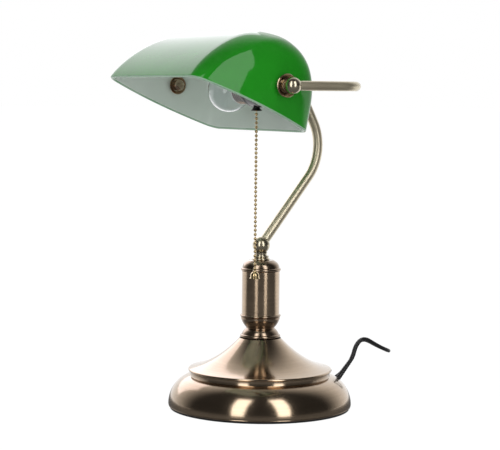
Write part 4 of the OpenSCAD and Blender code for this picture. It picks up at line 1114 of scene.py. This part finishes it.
class DESKLAMP_OT_chain(Piece, Operator):
    """Strings the bead chain under the switch, with the small bell at its end"""

    bl_idname = "desk_lamp.chain"
    bl_label = "Pull chain"

    def beads(self, tops, radius, up, down):
        """Outline of beads on one wire, from the topmost down: hollow beads with a collar at each hole."""
        found = [(0, tops[0] + up), (WIRE, tops[0] + up)]
        for z in tops:
            found += [(WIRE, z + radius * 0.99)] + arc(0, z, radius, 72, -72, 12) + [(WIRE, z - radius * 0.99)]
        return found + [(WIRE, tops[-1] - down), (0, tops[-1] - down)]

    def execute(self, context):
        g = mm("light")
        r, p, h = g.bead / 2, g.pitch, g.bell
        drops = [-p * (i + 1) for i in range(g.beads)]
        eye = [(0, 4.6), (0.9, 4.6), (1.0, 4.2), (1.0, 1.3)] + arc(0, 0, r, 52, -78, 13) + [(0, -r)]
        first = self.beads(drops[:3], r, p - r - 0.3, r)
        rest = self.beads(drops[3:], r, p - r - 0.3, r + 0.2)
        bell = near(0, h, (WIRE, -2), (WIRE, 0), (1.2, 0), (1.7, -0.25), (2, -0.7), (1.95, -1.0), (2.3, -1.5))
        bell += bulge((2.4, h - 1.6), (4.3, 1.5), 0.9, 12)
        bell += [(4.75, 0.95), (5.15, 0.5), (5.1, 0.08), (4.7, 0.0), (4.3, 0.35)]
        bell += bulge((3.5, 1.6), (1.7, h - 2.6), -0.6, 8) + [(WIRE, h - 2.5)]
        top = Matrix.Translation(CHAIN_TOP)
        hung = top @ moved(0, 0, drops[-1] - r - 0.3 - h)
        for name, shape, body, node, place, sharp in (
            ("switch_bead", spun(eye, 40), "pull_stub", "chain_eye", top, 80),
            ("chain_first_beads", spun(first, 32), "chain_top", "chain_link", top, 50),
            ("chain_beads", spun(rest, 32), "chain_low", "pull_chain", top, 50),
            ("chain_bell", spun(rounded(bell, 0.12, 2), 64, closed=True), "chain_low", "pull_bell", hung, 70),
        ):
            make_piece(name, shape, ["chain"], [node], place, body, sharp)
        return {"FINISHED"}


class DESKLAMP_OT_fittings(Piece, Operator):
    """Gives the small fittings, washers, nuts and inner pieces their finish"""

    bl_idname = "desk_lamp.fittings"
    bl_label = "Fittings"

    def execute(self, context):
        slots = {p["node"]: p["material_slot"] for p in frame["record"]["subparts"]}
        for name, obj in frame["nodes"].items():
            finish = MATERIALS[SLOT_FINISH.get(slots[name], slots[name])]
            if not obj.data.materials:
                obj.data.materials.append(finish)
            for place in obj.material_slots:
                place.link = "OBJECT"
                place.material = finish
        return {"FINISHED"}


# ---------------------------------------------------------------- stage

STRIP_TURNS = {"Left strip": 26.5, "Right strip": -29.5}
STRIP_RISE, BACK_TURN, BACK_RISE = 26.5, 155, 20
FLOOR_REACH = 30000


def panel_light(name, direction, distance, width, height, radiance, aim, tint=(1, 1, 1)):
    """A rectangular softbox that looks at aim from a direction. radiance is how bright its face is beside white."""
    d = Vector(direction).normalized()
    data = bpy.data.lights.new(name, "AREA")
    data.shape, data.size, data.size_y = "RECTANGLE", width, height
    data.energy = radiance * math.pi * width * height
    data.color = tint
    lamp = linked(name, data)
    lamp.location = Vector(aim) + d * distance
    lamp.rotation_mode = "QUATERNION"
    lamp.rotation_quaternion = (-d).to_track_quat("-Z", "Y")


def round_about(s, degrees, elevation):
    """A direction that many degrees clockwise from the camera's side, seen from above, and above the horizon."""
    a = math.atan2(-math.cos(s.azimuth), math.sin(s.azimuth)) - math.radians(degrees)
    e = math.radians(elevation)
    return (math.cos(a) * math.cos(e), math.sin(a) * math.cos(e), math.sin(e))


def toward_camera(tree, vector, s):
    """How far a vector reaches over the floor towards the camera."""
    way = (math.sin(s.azimuth), -math.cos(s.azimuth), 0)
    return new_node(tree, "ShaderNodeVectorMath", vector, way, operation="DOT_PRODUCT").outputs["Value"]


class DESKLAMP_OT_stage(Piece, Operator):
    """Lays the pale floor and sets the soft studio light"""

    bl_idname = "desk_lamp.stage"
    bl_label = "Stage"

    def execute(self, context):
        s = context.scene.desk_lamp_stage
        context.scene.view_settings.view_transform = "Standard"
        self.floor(s)
        self.world(s)
        for name, turn in STRIP_TURNS.items():
            panel_light(name, round_about(s, turn, STRIP_RISE), distance=1.2, width=0.36, height=1.47,
                        radiance=s.strips, aim=(0, 0, 0.1))
        panel_light("Back softbox", round_about(s, BACK_TURN, BACK_RISE), distance=1.6, width=1.5, height=1.0,
                    radiance=s.top, aim=(0, 0, 0.34), tint=(1, 0.93, 1.04))
        return {"FINISHED"}

    def floor(self, s):
        """Pale paper that runs on to the horizon as white, and keeps the shadow under the lamp."""
        corners = [(FLOOR_REACH * a, FLOOR_REACH * b, 0) for a, b in ((-1, -1), (1, -1), (1, 1), (-1, 1))]
        obj = linked("floor", mesh_of("floor", (corners, [(0, 1, 2, 3)])))
        mat, tree, shader, coords = blank("Pale paper floor", Roughness=0.9)
        paper = blended(tree, noise(tree, coords, 300.0, 3.0), (0.80, 0.80, 0.80), (0.83, 0.83, 0.83))
        feed(tree, shader["Base Color"], paper)
        path = tree.nodes.new("ShaderNodeLightPath").outputs
        behind = ranged(tree, toward_camera(tree, coords, s), -0.35, -0.03, 1.0, 0.05, "SMOOTHSTEP")
        level = times(tree, calc(tree, "MAXIMUM", path["Is Camera Ray"], behind), 1.12)
        glow = tree.nodes.new("ShaderNodeEmission")
        feed(tree, glow.inputs["Strength"], level)
        mirrored = calc(tree, "MAXIMUM", path["Is Glossy Ray"], path["Is Transmission Ray"])
        seen = times(tree, calc(tree, "MAXIMUM", path["Is Camera Ray"], mirrored), 0.85)
        surface = tree.nodes["Principled BSDF"].outputs[0]
        mix = new_node(tree, "ShaderNodeMixShader", seen, surface, glow.outputs[0])
        feed(tree, tree.nodes["Material Output"].inputs[0], mix.outputs[0])
        obj.data.materials.append(mat)

    def world(self, s):
        """A white room behind the lamp, dimmer on the camera's side, with soft light that gloss doesn't show."""
        world = bpy.data.worlds.new("Studio")
        bpy.context.scene.world = world
        world.use_nodes = True
        tree = world.node_tree
        coords = tree.nodes.new("ShaderNodeTexCoord").outputs["Generated"]
        level = ranged(tree, toward_camera(tree, coords, s), -1.0, -0.02, 1.0, s.room, "SMOOTHSTEP")
        path = tree.nodes.new("ShaderNodeLightPath").outputs
        seen = calc(tree, "MAXIMUM", path["Is Camera Ray"], path["Is Transmission Ray"])
        soft = times(tree, calc(tree, "SUBTRACT", 1.0, path["Is Glossy Ray"]), s.fill)
        back = tree.nodes["Background"].inputs
        feed(tree, back["Color"], (1, 1, 1))
        feed(tree, back["Strength"], calc(tree, "MAXIMUM", calc(tree, "MAXIMUM", seen, level), soft))


OPERATORS = [DESKLAMP_OT_camera, DESKLAMP_OT_lead, DESKLAMP_OT_base, DESKLAMP_OT_column, DESKLAMP_OT_yoke,
             DESKLAMP_OT_shade, DESKLAMP_OT_holder, DESKLAMP_OT_bulb, DESKLAMP_OT_chain, DESKLAMP_OT_fittings,
             DESKLAMP_OT_stage]


class DESKLAMP_PT_panel(Panel):
    """Lists the lamp's pieces in the order they are made"""

    bl_idname = "DESKLAMP_PT_panel"
    bl_label = "Desk Lamp"
    bl_space_type = "VIEW_3D"
    bl_region_type = "UI"
    bl_category = "Desk Lamp"

    def draw(self, context):
        for key in GROUPS:
            box = self.layout.box()
            box.label(text=key[len(PREFIX):].title())
            values = getattr(context.scene, key)
            for name in values.bl_rna.properties.keys():
                if name not in ("rna_type", "name"):
                    box.prop(values, name)
        for cls in OPERATORS:
            self.layout.operator(cls.bl_idname)


CLASSES = [*GROUPS.values(), *OPERATORS, DESKLAMP_PT_panel]


def register():
    for cls in CLASSES:
        bpy.utils.register_class(cls)
    for key, cls in GROUPS.items():
        setattr(bpy.types.Scene, key, PointerProperty(type=cls))


def unregister():
    for key in GROUPS:
        delattr(bpy.types.Scene, key)
    for cls in reversed(CLASSES):
        bpy.utils.unregister_class(cls)


def main():
    register()
    MATERIALS.update(make_materials())
    for cls in OPERATORS:
        group, name = cls.bl_idname.split(".")
        if getattr(getattr(bpy.ops, group), name)() != {"FINISHED"}:
            raise RuntimeError(cls.bl_label + " wasn't made")
    bpy.context.view_layer.update()


if __name__ == "__main__":
    main()
